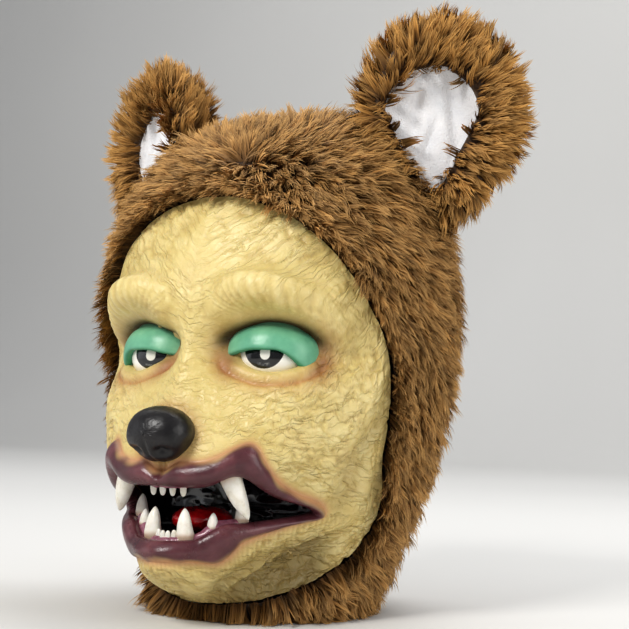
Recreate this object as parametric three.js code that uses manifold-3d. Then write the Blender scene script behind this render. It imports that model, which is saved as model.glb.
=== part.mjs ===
// Bear-like costume mask: a cast latex face sewn into a long-pile hood with two sprung ears.
// Units are millimetres, +Z is up, the face looks along -Y, and the neck hem stands on Z = 0.
import * as THREE from 'three';
import Module from 'manifold-3d';
import { mergeVertices } from 'three/addons/utils/BufferGeometryUtils.js';

const wasm = await Module();
wasm.setup();

// ---- Driving dimensions ----

// Hood skin: a neck ring that widens to the temples, with a dome above them.
const TEMPLE_Z = 205;
const DOME_HEIGHT = 137;
const NECK_RADIUS = 66;
const SIDE_HALF = 118;
const FRONT_HALF = 117;
const BACK_HALF = 118;
const NECK_CENTRE_Y = -4;
const HEAD_CENTRE_Y = 10;
const NECK_FLARE = 0.95;
const SIDE_ROUNDNESS = 0.62;
const FRONT_ROUNDNESS = 1.37;
const JAW_TAPER = 0.95;
const JAW_TAPER_RISE = [8, 35];
const JAW_TAPER_FALL = [58, 112];

// How far the jaw and muzzle stand out, and the heights over which they grow and fade.
const MUZZLE_REACH = 48;
const MUZZLE_RISE = [0, 60];
const MUZZLE_FALL = [52, 190];

// Face outline, in degrees around the head and millimetres up.
const OUTLINE_HALF_ANGLE = 75;
const OUTLINE_MID_Z = 90;
const OUTLINE_RISE = 188;
const OUTLINE_DROP = 78;
const OUTLINE_DROP_POWER = 2.4;

// Mouth, in the same coordinates.
const MOUTH_HALF_ANGLE = 48.5;
const MOUTH_MID_Z = 70;
const MOUTH_CORNER_LIFT = 3;
const UPPER_LIP_RISE = 19.5;
const UPPER_LIP_CORNER_FALL = 4;
const UPPER_LIP_FALL_SPAN = [0.5, 1];
const SNEER = { rise: 11.5, at: 0.56, width: 0.145 };
const LOWER_LIP_DROP = 6.3;
const LOWER_LIP_DIP = { drop: 9.3, from: 0.28, to: 0.5 };

// Rolled lips: their width around the mouth, which is widest at the two upper lobes.
const UPPER_LIP = {
  middle: 9,
  body: 5.5,
  bodySpan: [0.02, 0.15],
  lobe: 5,
  lobeAt: 0.52,
  lobeWidth: 0.15,
  cornerLoss: 9,
  cornerSpan: [0.58, 0.9],
};
const LOWER_LIP = {
  body: 12,
  swell: 3,
  swellAt: 0.37,
  swellWidth: 0.12,
  cornerLoss: 6.5,
  cornerSpan: [0.4, 0.85],
};
const LIP_BLEND = 0.3;
const LIP_ROUNDNESS = 0.8;
const LIP_HEIGHT = 5.5;

// Facial features as soft mounds, or hollows where the reach is negative, on both sides alike.
// Each stands at a distance from the middle plane and a height, and may fall away outward.
const FEATURES = [
  { name: 'chin', reach: 22, side: 0, width: 25, z: 33, height: 15, fall: 0 },
  { name: 'lip lobe', reach: 6, side: 30, width: 17, z: 106, height: 17, fall: 0 },
  { name: 'snout', reach: 9, side: 0, width: 24, z: 126, height: 24, fall: 0 },
  { name: 'nose bridge', reach: 6, side: 0, width: 15, z: 165, height: 34, fall: 0 },
  { name: 'eye socket', reach: -15, side: 49, width: 31, z: 175, height: 17, fall: 0 },
  { name: 'inner eye corner', reach: -5, side: 21, width: 9, z: 174, height: 14, fall: 0 },
  { name: 'brow', reach: 15, side: 55, width: 32, z: 217, height: 11, fall: 0.2 },
  { name: 'cheek', reach: 6, side: 74, width: 24, z: 136, height: 24, fall: 0 },
];
const FEATURE_FADE = 0.35;

// Thicknesses and clearances.
const LATEX = 3;
const CLOTH = 1.5;
const PILE = 8;
const HEM_WIDTH = 2.7;
const HEM_HEIGHT = 6;
const HEM_GAP = 0.9;
const GAP = 0.4;
const LINER = 1.6;
const LINER_BACK_Y = -46;

// Eyes.
const EYE_CENTRE = new THREE.Vector3(43, -73, 171);
const EYE_SIZE = new THREE.Vector3(24, 21, 18);
const LID_SIZE = new THREE.Vector3(34.5, 26, 26);
const EYE_TURN = 22;
const LID_EDGE_Z = 3.5;
const LID_EDGE_TILT = -7;
const LID_BACK_Y = 4;
const EYE_BACK_Y = -2;
const BLOCK_REACH = 60;

// Nose.
const NOSE_CENTRE = new THREE.Vector3(0, -136, 121);
const NOSE_SIZE = new THREE.Vector3(21, 19, 18.5);

// Ears: a drop-shaped fabric pocket around a foam core, hinged along its sewn seam.
const EAR_FACING = 28;
const EAR_PLANE_POINT = new THREE.Vector3(117, 22, 350);
// The right ear is sewn on a little lower.
const RIGHT_EAR_DROP = 13;
const EAR_HALF_WIDTH = 50;
const EAR_RISE = 58;
const EAR_DROP = 80;
const EAR_THICKNESS = 22;
const LINING_HALF_WIDTH = 32;
const LINING_RISE = 31;
const LINING_DROP = 62;
const LINING_CENTRE_DROP = 3;
const LINING_INWARD = 7;
const LINING_THICKNESS = 2;
const CORE_THICKNESS = 7;
const DROP_NARROWING = 1.35;
const POCKET_OPENING = 1;
const SEAM_TILT = 26;
const SEAM_OFFSET = new THREE.Vector2(1.5, -58);
const SEAM_LENGTH = 52;
const SEAM_SHIFT = 4;
const ROOT_RADIUS = 7;
const EAR_SWING = [-30, -15, 15, 30];
const SWING_CLEARANCE = 1;
const RIM = 2;
const ROOT_CLEARANCE = 3;
const EAR_RIM_CLEARANCE = 6;

// Sides of the round pieces.
const BALL_SIDES = 22;
const TOOTH_SIDES = 9;

// From the hood's own axis to the middle of the whole mask, front to back.
const FRAME_SHIFT_Y = 9.5;

const RAD = Math.PI / 180;

// ---- Materials ----

function finish(color, roughness) {
  return new THREE.MeshStandardMaterial({ color, roughness, metalness: 0 });
}

const latexSkin = () => finish(0xe1cd8c, 0.5);
const lidGreen = () => finish(0x78be96, 0.45);
const noseBlack = () => finish(0x141414, 0.3);
const eyeGloss = () => finish(0xf4f2ea, 0.12);
const toothEnamel = () => finish(0xf0ede2, 0.35);
const gumPink = () => finish(0x9a6a78, 0.4);
const tongueRed = () => finish(0xb01420, 0.15);
const linerBlack = () => finish(0x0c0c0e, 0.2);
const brownPile = () => finish(0x9c6a35, 0.95);
const hemCloth = () => finish(0x6b4522, 0.9);
const whiteFleece = () => finish(0xf0f0f0, 0.95);
const earFoam = () => finish(0xd8d4c8, 0.9);

// ---- Small helpers ----

const clamp01 = (x) => Math.min(1, Math.max(0, x));

function smoothstep(low, high, x) {
  const t = clamp01((x - low) / (high - low));
  return t * t * (3 - 2 * t);
}

const bell = (x, width) => Math.exp(-((x / width) ** 2));

const vec = (x, y, z) => new THREE.Vector3(x, y, z);

// ---- The head's skin ----

// Section of the hood at level t: 0 at the neck ring, 1 at the temples, 2 at the crown.
function section(t) {
  if (t <= 1) {
    const flare = Math.sin((t * Math.PI) / 2) ** NECK_FLARE;
    const grow = (half) => NECK_RADIUS + (half - NECK_RADIUS) * flare;
    const z = t * TEMPLE_Z;
    return {
      z,
      centreY: NECK_CENTRE_Y + (HEAD_CENTRE_Y - NECK_CENTRE_Y) * flare,
      side: grow(SIDE_HALF),
      front: grow(FRONT_HALF) + muzzleReach(z),
      back: grow(BACK_HALF),
    };
  }
  const rise = ((t - 1) * Math.PI) / 2;
  const round = Math.max(Math.cos(rise), 1e-4);
  return {
    z: TEMPLE_Z + DOME_HEIGHT * Math.sin(rise),
    centreY: HEAD_CENTRE_Y,
    side: SIDE_HALF * round ** SIDE_ROUNDNESS,
    front: FRONT_HALF * round ** FRONT_ROUNDNESS,
    back: BACK_HALF * round ** SIDE_ROUNDNESS,
  };
}

// How far the jaw and muzzle stand in front of the plain hood at height z.
function muzzleReach(z) {
  return MUZZLE_REACH * smoothstep(...MUZZLE_RISE, z) * (1 - smoothstep(...MUZZLE_FALL, z));
}

function levelOf(z) {
  if (z <= TEMPLE_Z) return z / TEMPLE_Z;
  return 1 + Math.asin(Math.min(1, (z - TEMPLE_Z) / DOME_HEIGHT)) / (Math.PI / 2);
}

// Forward push of all the facial features together at a place on the face.
function featureReach(x, z) {
  const side = Math.abs(x);
  return FEATURES.reduce((sum, feature) => {
    const height = z - feature.z + feature.fall * Math.max(0, side - feature.side);
    return sum + feature.reach * bell(side - feature.side, feature.width) * bell(height, feature.height);
  }, 0);
}

// The lower jaw narrows towards the front, so its section is more pointed than the head's.
function jawTaper(z) {
  return 1 + JAW_TAPER * smoothstep(...JAW_TAPER_RISE, z) * (1 - smoothstep(...JAW_TAPER_FALL, z));
}

function skinPoint(theta, t) {
  const cut = section(t);
  const x = cut.side * Math.sin(theta);
  const facing = Math.cos(theta);
  if (facing <= 0) return vec(x, cut.centreY - cut.back * facing, cut.z);
  const y = cut.centreY - cut.front * facing ** jawTaper(cut.z);
  return vec(x, y - featureReach(x, cut.z) * smoothstep(0, FEATURE_FADE, facing), cut.z);
}

function skinNormal(theta, t) {
  const step = 0.004;
  const top = Math.min(t + step, 1.999);
  const low = Math.max(t - step, 0);
  const across = skinPoint(theta + step, t).sub(skinPoint(theta - step, t));
  const up = skinPoint(theta, top).sub(skinPoint(theta, low));
  return across.cross(up).normalize();
}

// A point that lies out from the skin by the given distance. It moves level at the neck ring,
// and it never drops below the surface that the hem stands on.
function offsetPoint(theta, t, out) {
  const normal = skinNormal(theta, t);
  if (t <= 0) {
    normal.z = 0;
    normal.normalize();
  }
  const point = skinPoint(theta, t).addScaledVector(normal, out);
  point.z = Math.max(point.z, 0);
  return point;
}

// ---- Closed meshes ----

function solidFromLists(points, triangles) {
  const geometry = new THREE.BufferGeometry();
  const positions = new Float32Array(points.flatMap((p) => [p.x, p.y, p.z]));
  geometry.setAttribute('position', new THREE.BufferAttribute(positions, 3));
  let volume = 0;
  for (const [a, b, c] of triangles) {
    volume += points[a].dot(points[b].clone().cross(points[c]));
  }
  const facing = volume < 0 ? triangles.map(([a, b, c]) => [a, c, b]) : triangles;
  geometry.setIndex(facing.flat());
  return geometry;
}

function quad(a, b, c, d) {
  return [[a, b, c], [a, c, d]];
}

// A shell between an outer and an inner grid of points. A wrapped grid closes around its columns.
function shellSolid(outer, inner, wrapped) {
  const rows = outer.length;
  const columns = outer[0].length;
  const points = [...outer.flat(), ...inner.flat()];
  const layer = rows * columns;
  const out = (i, j) => i * columns + (j % columns);
  const into = (i, j) => layer + out(i, j);
  const spans = wrapped ? columns : columns - 1;
  const triangles = [];
  for (let i = 0; i < rows - 1; i += 1) {
    for (let j = 0; j < spans; j += 1) {
      triangles.push(...quad(out(i, j), out(i, j + 1), out(i + 1, j + 1), out(i + 1, j)));
      triangles.push(...quad(into(i, j), into(i + 1, j), into(i + 1, j + 1), into(i, j + 1)));
    }
  }
  for (let j = 0; j < spans; j += 1) {
    triangles.push(...quad(out(0, j), into(0, j), into(0, j + 1), out(0, j + 1)));
    const last = rows - 1;
    triangles.push(...quad(out(last, j), out(last, j + 1), into(last, j + 1), into(last, j)));
  }
  if (!wrapped) {
    for (let i = 0; i < rows - 1; i += 1) {
      const end = columns - 1;
      triangles.push(...quad(out(i, 0), out(i + 1, 0), into(i + 1, 0), into(i, 0)));
      triangles.push(...quad(out(i, end), into(i, end), into(i + 1, end), out(i + 1, end)));
    }
  }
  return solidFromLists(points, triangles);
}

// A closed body lofted through rings of points, with a flat fan on each end.
function loftSolid(rings) {
  const sides = rings[0].length;
  const points = rings.flat();
  const triangles = [];
  for (let i = 0; i < rings.length - 1; i += 1) {
    for (let j = 0; j < sides; j += 1) {
      const next = (j + 1) % sides;
      const base = i * sides;
      triangles.push(...quad(base + j, base + next, base + sides + next, base + sides + j));
    }
  }
  const last = (rings.length - 1) * sides;
  for (let j = 1; j < sides - 1; j += 1) {
    triangles.push([0, j + 1, j]);
    triangles.push([last, last + j, last + j + 1]);
  }
  return solidFromLists(points, triangles);
}

// ---- Joining and cutting ----

function toManifold(geometry) {
  const bare = geometry.clone();
  bare.deleteAttribute('normal');
  bare.deleteAttribute('uv');
  const merged = mergeVertices(bare, 1e-4);
  return new wasm.Manifold(new wasm.Mesh({
    numProp: 3,
    vertProperties: new Float32Array(merged.attributes.position.array),
    triVerts: new Uint32Array(merged.index.array),
  }));
}

function toGeometry(manifold) {
  const mesh = manifold.getMesh();
  const geometry = new THREE.BufferGeometry();
  geometry.setAttribute('position', new THREE.BufferAttribute(mesh.vertProperties, 3));
  geometry.setIndex(new THREE.BufferAttribute(mesh.triVerts, 1));
  return geometry;
}

function subtractAll(geometry, cutters) {
  let body = toManifold(geometry);
  for (const cutter of cutters) {
    body = body.subtract(toManifold(cutter));
  }
  return toGeometry(body);
}

// ---- Face outline and mouth, as points around an angle psi ----

function superSine(value, power) {
  return Math.sign(value) * Math.abs(value) ** power;
}

function outlineAt(psi, grow = 0) {
  const up = Math.sin(psi) >= 0;
  const power = up ? 1 : 2 / OUTLINE_DROP_POWER;
  const across = (OUTLINE_HALF_ANGLE + grow) * superSine(Math.cos(psi), power);
  const reach = up ? OUTLINE_RISE : OUTLINE_DROP;
  return { angle: across, z: OUTLINE_MID_Z + (reach + grow) * superSine(Math.sin(psi), power) };
}

function mouthAt(psi) {
  const across = Math.cos(psi);
  const open = Math.sin(psi);
  const line = MOUTH_MID_Z + MOUTH_CORNER_LIFT * across ** 2;
  const side = Math.abs(across);
  const sneer = SNEER.rise * bell(side - SNEER.at, SNEER.width);
  const upper = UPPER_LIP_RISE - UPPER_LIP_CORNER_FALL * smoothstep(...UPPER_LIP_FALL_SPAN, side) + sneer;
  const dip = LOWER_LIP_DIP.drop * (1 - smoothstep(LOWER_LIP_DIP.from, LOWER_LIP_DIP.to, side));
  const z = line + open * (open >= 0 ? upper : LOWER_LIP_DROP + dip);
  return { angle: MOUTH_HALF_ANGLE * across, z };
}

// Degrees around the head count as this many millimetres when measuring across the face.
const MM_PER_DEGREE = 1.7;

// A place on the face at a distance out from the mouth's edge, heading for the outline.
function nearMouth(psi, distance) {
  const mouth = mouthAt(psi);
  const edge = outlineAt(psi);
  const across = (edge.angle - mouth.angle) * MM_PER_DEGREE;
  const up = edge.z - mouth.z;
  const length = Math.hypot(across, up);
  return {
    angle: mouth.angle + (across / length / MM_PER_DEGREE) * distance,
    z: mouth.z + (up / length) * distance,
    length,
  };
}

function facePoint(place, out) {
  return offsetPoint(place.angle * RAD, levelOf(place.z), out);
}

// ---- Face ----

// Width of the rolled lip at psi around the mouth.
function lipWidth(psi) {
  const side = Math.abs(Math.cos(psi));
  const lobe = UPPER_LIP.lobe * bell(side - UPPER_LIP.lobeAt, UPPER_LIP.lobeWidth);
  const body = UPPER_LIP.middle + UPPER_LIP.body * smoothstep(...UPPER_LIP.bodySpan, side);
  const upper = body + lobe - UPPER_LIP.cornerLoss * smoothstep(...UPPER_LIP.cornerSpan, side);
  const swell = LOWER_LIP.swell * bell(side - LOWER_LIP.swellAt, LOWER_LIP.swellWidth);
  const lower = LOWER_LIP.body + swell - LOWER_LIP.cornerLoss * smoothstep(...LOWER_LIP.cornerSpan, side);
  const share = smoothstep(-LIP_BLEND, LIP_BLEND, Math.sin(psi));
  return upper * share + lower * (1 - share);
}

function lipHeight(share) {
  return share >= 1 ? 0 : LIP_HEIGHT * Math.sin(Math.PI * share) ** LIP_ROUNDNESS;
}

function faceShell() {
  const around = 56;
  const lipSteps = 3;
  const faceSteps = 10;
  const outer = [];
  const inner = [];
  for (let i = 0; i <= lipSteps + faceSteps; i += 1) {
    const outerRow = [];
    const innerRow = [];
    for (let j = 0; j < around; j += 1) {
      const psi = (2 * Math.PI * j) / around;
      const full = nearMouth(psi, 0).length;
      const beyond = clamp01((i - lipSteps) / faceSteps);
      const width = lipWidth(psi);
      const distance = i <= lipSteps ? (width * i) / lipSteps : width + (full - width) * beyond;
      const place = nearMouth(psi, distance);
      outerRow.push(facePoint(place, lipHeight(i / lipSteps)));
      innerRow.push(facePoint(place, -LATEX));
    }
    outer.push(outerRow);
    inner.push(innerRow);
  }
  const canines = TEETH.filter((tooth) => tooth.name.endsWith('canine'));
  const toothSeats = (side) => canines.map((tooth) => placeTooth(tooth, side, GAP));
  const seats = (side) => [eyeSeat(side), lidSeat(side), ...toothSeats(side)];
  const cutters = [1, -1].flatMap(seats);
  cutters.push(noseSeat());
  return subtractAll(shellSolid(outer, inner, true), cutters);
}

// ---- Eyes and lids ----

function ellipsoid(size, grow, segments) {
  const ball = new THREE.SphereGeometry(1, segments, Math.round(segments * 0.6));
  ball.scale(size.x + grow, size.y + grow, size.z + grow);
  return ball;
}

// Carries a solid made around the origin, facing -Y, to the eye on one side.
function toEye(geometry, side) {
  geometry.rotateZ(EYE_TURN * RAD * side);
  geometry.translate(EYE_CENTRE.x * side, EYE_CENTRE.y, EYE_CENTRE.z);
  return geometry;
}

// A block that keeps only what lies in front of the eye's back plane.
function frontBlock(backY) {
  const block = new THREE.BoxGeometry(2 * BLOCK_REACH, BLOCK_REACH, 2 * BLOCK_REACH);
  block.translate(0, backY - BLOCK_REACH / 2, 0);
  return block;
}

// A block that holds everything above the lid's lower edge.
function lidBlock(side, drop) {
  const block = new THREE.BoxGeometry(2 * BLOCK_REACH, 2 * BLOCK_REACH, BLOCK_REACH);
  block.translate(0, 0, LID_EDGE_Z - drop + BLOCK_REACH / 2);
  block.rotateY(-LID_EDGE_TILT * RAD * side);
  return block;
}

function lidBlank(side, grow) {
  const blank = toManifold(ellipsoid(LID_SIZE, grow, BALL_SIDES));
  const above = blank.intersect(toManifold(lidBlock(side, grow)));
  return above.intersect(toManifold(frontBlock(LID_BACK_Y + grow)));
}

function eyeDome(side) {
  const dome = toManifold(ellipsoid(EYE_SIZE, 0, BALL_SIDES)).intersect(toManifold(frontBlock(EYE_BACK_Y)));
  return toEye(toGeometry(dome), side);
}

function eyelid(side) {
  const lid = lidBlank(side, 0).subtract(toManifold(ellipsoid(EYE_SIZE, GAP, BALL_SIDES)));
  const capped = lid.intersect(toManifold(frontBlock(EYE_BACK_Y)));
  return toEye(toGeometry(capped), side);
}

const eyeSeat = (side) => toEye(ellipsoid(EYE_SIZE, GAP, BALL_SIDES), side);
const lidSeat = (side) => toEye(toGeometry(lidBlank(side, GAP)), side);

// ---- Nose ----

function noseBall(grow) {
  const ball = ellipsoid(NOSE_SIZE, grow, BALL_SIDES);
  ball.translate(NOSE_CENTRE.x, NOSE_CENTRE.y, NOSE_CENTRE.z);
  return ball;
}

const noseSeat = () => noseBall(GAP);

// ---- Inside of the mouth ----

// The psi angle that meets a given direction around the head on the upper or lower lip.
function psiAt(angle, upper) {
  const psi = Math.acos(angle / MOUTH_HALF_ANGLE);
  return upper ? psi : -psi;
}

// A place behind the lips: away from the mouth's edge by distance, and in from the skin by depth.
function behindLip(angle, upper, distance, depth) {
  return facePoint(nearMouth(psiAt(angle, upper), distance), -depth);
}

const GUM_HALF_ANGLE = 31;
const GUM_HALF_HEIGHT = 6;
const GUM_MID_DISTANCE = 4.5;
const GUM_HALF_DEPTH = 4.2;
const GUM_DEPTH = 8.6;

function gumBar(upper) {
  const steps = 12;
  const sides = 8;
  const rings = [];
  for (let i = 0; i <= steps; i += 1) {
    const angle = -GUM_HALF_ANGLE + (2 * GUM_HALF_ANGLE * i) / steps;
    const ring = [];
    for (let j = 0; j < sides; j += 1) {
      const turn = (2 * Math.PI * j) / sides;
      const distance = GUM_MID_DISTANCE + GUM_HALF_HEIGHT * Math.cos(turn);
      ring.push(behindLip(angle, upper, distance, GUM_DEPTH + GUM_HALF_DEPTH * Math.sin(turn)));
    }
    rings.push(ring);
  }
  return loftSolid(rings);
}

// Every tooth: where it stands around the lip, its size, and how its tip leans out and back.
const TEETH = [
  { name: 'upper_canine', upper: true, angle: 24, radius: 6.8, length: 33, lean: 0.42, back: 0.2 },
  { name: 'upper_incisor_inner', upper: true, angle: 2.3, radius: 2.2, length: 9 },
  { name: 'upper_incisor_outer', upper: true, angle: 7, radius: 2.2, length: 9.5 },
  { name: 'lower_canine', upper: false, angle: 10.5, radius: 5.5, length: 20, lean: -0.06 },
  { name: 'lower_incisor_inner', upper: false, angle: 1.8, radius: 1.9, length: 8 },
  { name: 'lower_incisor_outer', upper: false, angle: 5.3, radius: 1.9, length: 8 },
  { name: 'lower_cone_front', upper: false, angle: 20, radius: 3.8, length: 11, depth: 8.5 },
  { name: 'lower_cone_rear', upper: false, angle: 28.5, radius: 4.3, length: 14.5, depth: 8.5 },
].map((tooth) => ({ lean: 0, back: 0, depth: 8, ...tooth }));

const TOOTH_SINK = 2;
const TOOTH_TAPER = 2;
const TOOTH_BLUNT = 0.72;

// A pointed tooth: a turned profile from the root's flat end to a rounded tip.
function toothBlank(tooth, grow) {
  const steps = 6;
  const profile = [new THREE.Vector2(0, -grow)];
  for (let i = 0; i < steps; i += 1) {
    const along = i / steps;
    const swell = (1 - along ** TOOTH_TAPER) ** TOOTH_BLUNT;
    profile.push(new THREE.Vector2((tooth.radius + grow) * swell, (tooth.length + grow) * along - grow));
  }
  profile.push(new THREE.Vector2(0, tooth.length + grow));
  return new THREE.LatheGeometry(profile, TOOTH_SIDES);
}

function placeTooth(tooth, side, grow) {
  const geometry = toothBlank(tooth, grow);
  const base = behindLip(tooth.angle, tooth.upper, TOOTH_SINK, tooth.depth);
  const way = vec(tooth.lean, tooth.back, tooth.upper ? -1 : 1).normalize();
  const turn = new THREE.Quaternion().setFromUnitVectors(vec(0, 1, 0), way);
  geometry.applyQuaternion(turn);
  geometry.translate(base.x, base.y, base.z);
  if (side < 0) mirrorX(geometry);
  return geometry;
}

// Mirrors a solid across the mask's middle plane and keeps its faces pointing out.
function mirrorX(geometry) {
  geometry.scale(-1, 1, 1);
  const index = geometry.index.array;
  for (let i = 0; i < index.length; i += 3) {
    const kept = index[i + 1];
    index[i + 1] = index[i + 2];
    index[i + 2] = kept;
  }
}

function gum(upper) {
  const sockets = TEETH.filter((tooth) => tooth.upper === upper)
    .flatMap((tooth) => [1, -1].map((side) => placeTooth(tooth, side, GAP)));
  return subtractAll(gumBar(upper), sockets);
}

const TONGUE_SIZE = vec(17, 23, 7);
const TONGUE_CENTRE = vec(0, -84, 62);

function tongue() {
  const body = new THREE.SphereGeometry(1, 18, 10);
  body.scale(...TONGUE_SIZE);
  body.translate(...TONGUE_CENTRE);
  return body;
}

// A closed pouch behind the lips. Its front edge lies against the back of the face.
function mouthLiner() {
  const around = 30;
  const rows = 6;
  const outer = [];
  const inner = [];
  for (let i = 0; i < rows; i += 1) {
    const back = i / (rows - 1);
    const outerRow = [];
    const innerRow = [];
    for (let j = 0; j < around; j += 1) {
      const psi = (2 * Math.PI * j) / around;
      outerRow.push(linerPoint(psi, back, 0));
      innerRow.push(linerPoint(psi, back, LINER));
    }
    outer.push(outerRow);
    inner.push(innerRow);
  }
  return closedPouch(outer, inner);
}

// The pouch's front edge stands this far outside the mouth's edge and behind the face's back.
const LINER_EDGE = 14;
const LINER_BEHIND = 0.9;
const LINER_MID_Z = 74;
const LINER_NARROWING = 0.25;
const LINER_CLOSING = 0.36 * Math.PI;
const LINER_INSET_RADIUS = 40;
const LINER_BULGE = 1.2;

// A point of the pouch: back runs from 0 at the lips to 1 at the closed end.
function linerPoint(psi, back, inset) {
  const rim = facePoint(nearMouth(psi, LINER_EDGE), -(LATEX + LINER_BEHIND));
  const shrink = Math.cos(back * LINER_CLOSING) - inset / LINER_INSET_RADIUS;
  const endY = LINER_BACK_Y - inset;
  const squeeze = Math.sin((back * Math.PI) / 2) ** LINER_BULGE;
  return vec(
    rim.x * (1 - LINER_NARROWING * back) * shrink,
    rim.y + (endY - rim.y) * squeeze,
    LINER_MID_Z + (rim.z - LINER_MID_Z) * shrink,
  );
}

// Joins the front rims of two nested cups and closes each cup's far end with a fan.
function closedPouch(outer, inner) {
  const rows = outer.length;
  const columns = outer[0].length;
  const points = [...outer.flat(), ...inner.flat()];
  const layer = rows * columns;
  const triangles = [];
  for (let j = 0; j < columns; j += 1) {
    const next = (j + 1) % columns;
    for (let i = 0; i < rows - 1; i += 1) {
      const a = i * columns;
      triangles.push(...quad(a + j, a + next, a + columns + next, a + columns + j));
      const b = layer + a;
      triangles.push(...quad(b + j, b + columns + j, b + columns + next, b + next));
    }
    triangles.push(...quad(j, layer + j, layer + next, next));
  }
  const end = (rows - 1) * columns;
  for (const [base, turned] of [[end, false], [layer + end, true]]) {
    const centre = points.length;
    const ring = points.slice(base, base + columns);
    points.push(ring.reduce((sum, p) => sum.add(p), vec(0, 0, 0)).divideScalar(columns));
    for (let j = 0; j < columns; j += 1) {
      const next = (j + 1) % columns;
      triangles.push(turned ? [base + next, base + j, centre] : [base + j, base + next, centre]);
    }
  }
  return solidFromLists(points, triangles);
}

// ---- Hood ----

const GUSSET_HALF = 28;
const HAIRLINE_GAP = 1.2;
const HIGHEST_LEVEL = 1.985;
const ENVELOPE_BOTTOM_LEVEL = 0.6;
const CHIN_PANEL_ANGLE = 40;
const SEAM_GAP = 0.5;
const CHIN_SEAM_ANGLE = 1.2;

// The hood begins this far outside the face outline, in degrees and in millimetres alike.
const EDGE_GAP = 1.3;

// Angle of the face outline at height z, in degrees, or null where the face doesn't reach.
function outlineAngle(z) {
  const rise = z - OUTLINE_MID_Z;
  const reach = (rise > 0 ? OUTLINE_RISE : OUTLINE_DROP) + EDGE_GAP;
  const power = rise > 0 ? 2 : OUTLINE_DROP_POWER;
  const left = 1 - (Math.abs(rise) / reach) ** power;
  return left > 0 ? (OUTLINE_HALF_ANGLE + EDGE_GAP) * left ** (1 / power) : null;
}

// Grid of a hood panel from its rows' levels and each row's first and last angle.
function panelSolid(levels, limits, columns, place) {
  const grid = (out) => levels.map((t) => {
    const [first, last] = limits(t);
    const row = [];
    for (let j = 0; j <= columns; j += 1) {
      row.push(place(first + ((last - first) * j) / columns, t, out));
    }
    return row;
  });
  return shellSolid(grid(PILE), grid(-CLOTH), false);
}

const byAngle = (degrees, t, out) => offsetPoint(degrees * RAD, t, out);

function evenLevels(from, to, count) {
  return Array.from({ length: count + 1 }, (_, i) => from + ((to - from) * i) / count);
}

// The angle at which a section's side reaches the crown gusset's seam.
function gussetAngle(t) {
  const reach = (GUSSET_HALF + SEAM_GAP) / section(t).side;
  return Math.asin(Math.min(1, reach)) / RAD;
}

function sideLimits(t) {
  const edge = outlineAngle(section(t).z);
  const first = edge === null ? 0 : edge;
  const floor = t > 1 ? gussetAngle(t) : CHIN_PANEL_ANGLE + CHIN_SEAM_ANGLE;
  return [Math.max(first, floor), 180 - gussetAngle(t)];
}

const HOOD_TOP_LEVEL = 1.934;

function hoodSide(side) {
  const lower = evenLevels(0, 1, 13);
  const upper = evenLevels(1, HOOD_TOP_LEVEL, 9).slice(1);
  const panel = panelSolid([...lower, ...upper], sideLimits, 12, byAngle);
  if (side < 0) mirrorX(panel);
  return subtractAll(panel, [earGroove(side)]);
}

// The level at which a section is only as wide as the given distance from the middle plane.
function ridgeLevel(x) {
  const share = Math.abs(x) / SIDE_HALF;
  return Math.min(HIGHEST_LEVEL, 1 + Math.acos(share ** (1 / SIDE_ROUNDNESS)) / (Math.PI / 2));
}

// The gusset runs in the middle plane from the hairline over the crown and down to the nape.
function crownGusset() {
  const frontRows = 8;
  const backRows = 24;
  const columns = 4;
  const hairline = levelOf(OUTLINE_MID_Z + OUTLINE_RISE + HAIRLINE_GAP);
  const place = (x, share, back, out) => {
    const t = share * ridgeLevel(x) + (1 - share) * (back ? 0 : hairline);
    const angle = Math.asin(Math.max(-1, Math.min(1, x / section(t).side)));
    return offsetPoint(back ? Math.PI - angle : angle, t, out);
  };
  const row = (share, back, out) => Array.from({ length: columns + 1 }, (_, j) => (
    place(GUSSET_HALF * (1 - (2 * j) / columns), share, back, out)
  ));
  const grid = (out) => [
    ...evenLevels(0, 1, frontRows).map((share) => row(share, false, out)),
    ...evenLevels(0, 1, backRows).reverse().slice(1).map((share) => row(share, true, out)),
  ];
  return shellSolid(grid(PILE), grid(-CLOTH), false);
}

// Under the chin, from the neck ring up to the face's lower edge.
function chinPanel() {
  const columns = 14;
  const rows = 3;
  const grid = (out) => Array.from({ length: rows + 1 }, (_, i) => {
    const row = [];
    for (let j = 0; j <= columns; j += 1) {
      const angle = -CHIN_PANEL_ANGLE + (2 * CHIN_PANEL_ANGLE * j) / columns;
      const share = 1 - (Math.abs(angle) / (OUTLINE_HALF_ANGLE + EDGE_GAP)) ** OUTLINE_DROP_POWER;
      const top = OUTLINE_MID_Z - (OUTLINE_DROP + EDGE_GAP) * share ** (1 / OUTLINE_DROP_POWER);
      row.push(offsetPoint(angle * RAD, levelOf((top * i) / rows), out));
    }
    return row;
  });
  return shellSolid(grid(PILE), grid(-CLOTH), false);
}

// The folded band sewn inside the neck opening.
function neckHem() {
  const around = 40;
  const ring = (t, out) => Array.from({ length: around }, (_, j) => (
    offsetPoint((2 * Math.PI * j) / around, t, out)
  ));
  const levels = [0, HEM_HEIGHT / 2 / TEMPLE_Z, HEM_HEIGHT / TEMPLE_Z];
  const outer = levels.map((t) => ring(t, -CLOTH - HEM_GAP));
  const inner = levels.map((t) => ring(t, -CLOTH - HEM_GAP - HEM_WIDTH));
  return shellSolid(outer, inner, true);
}

// ---- Ears ----

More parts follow.
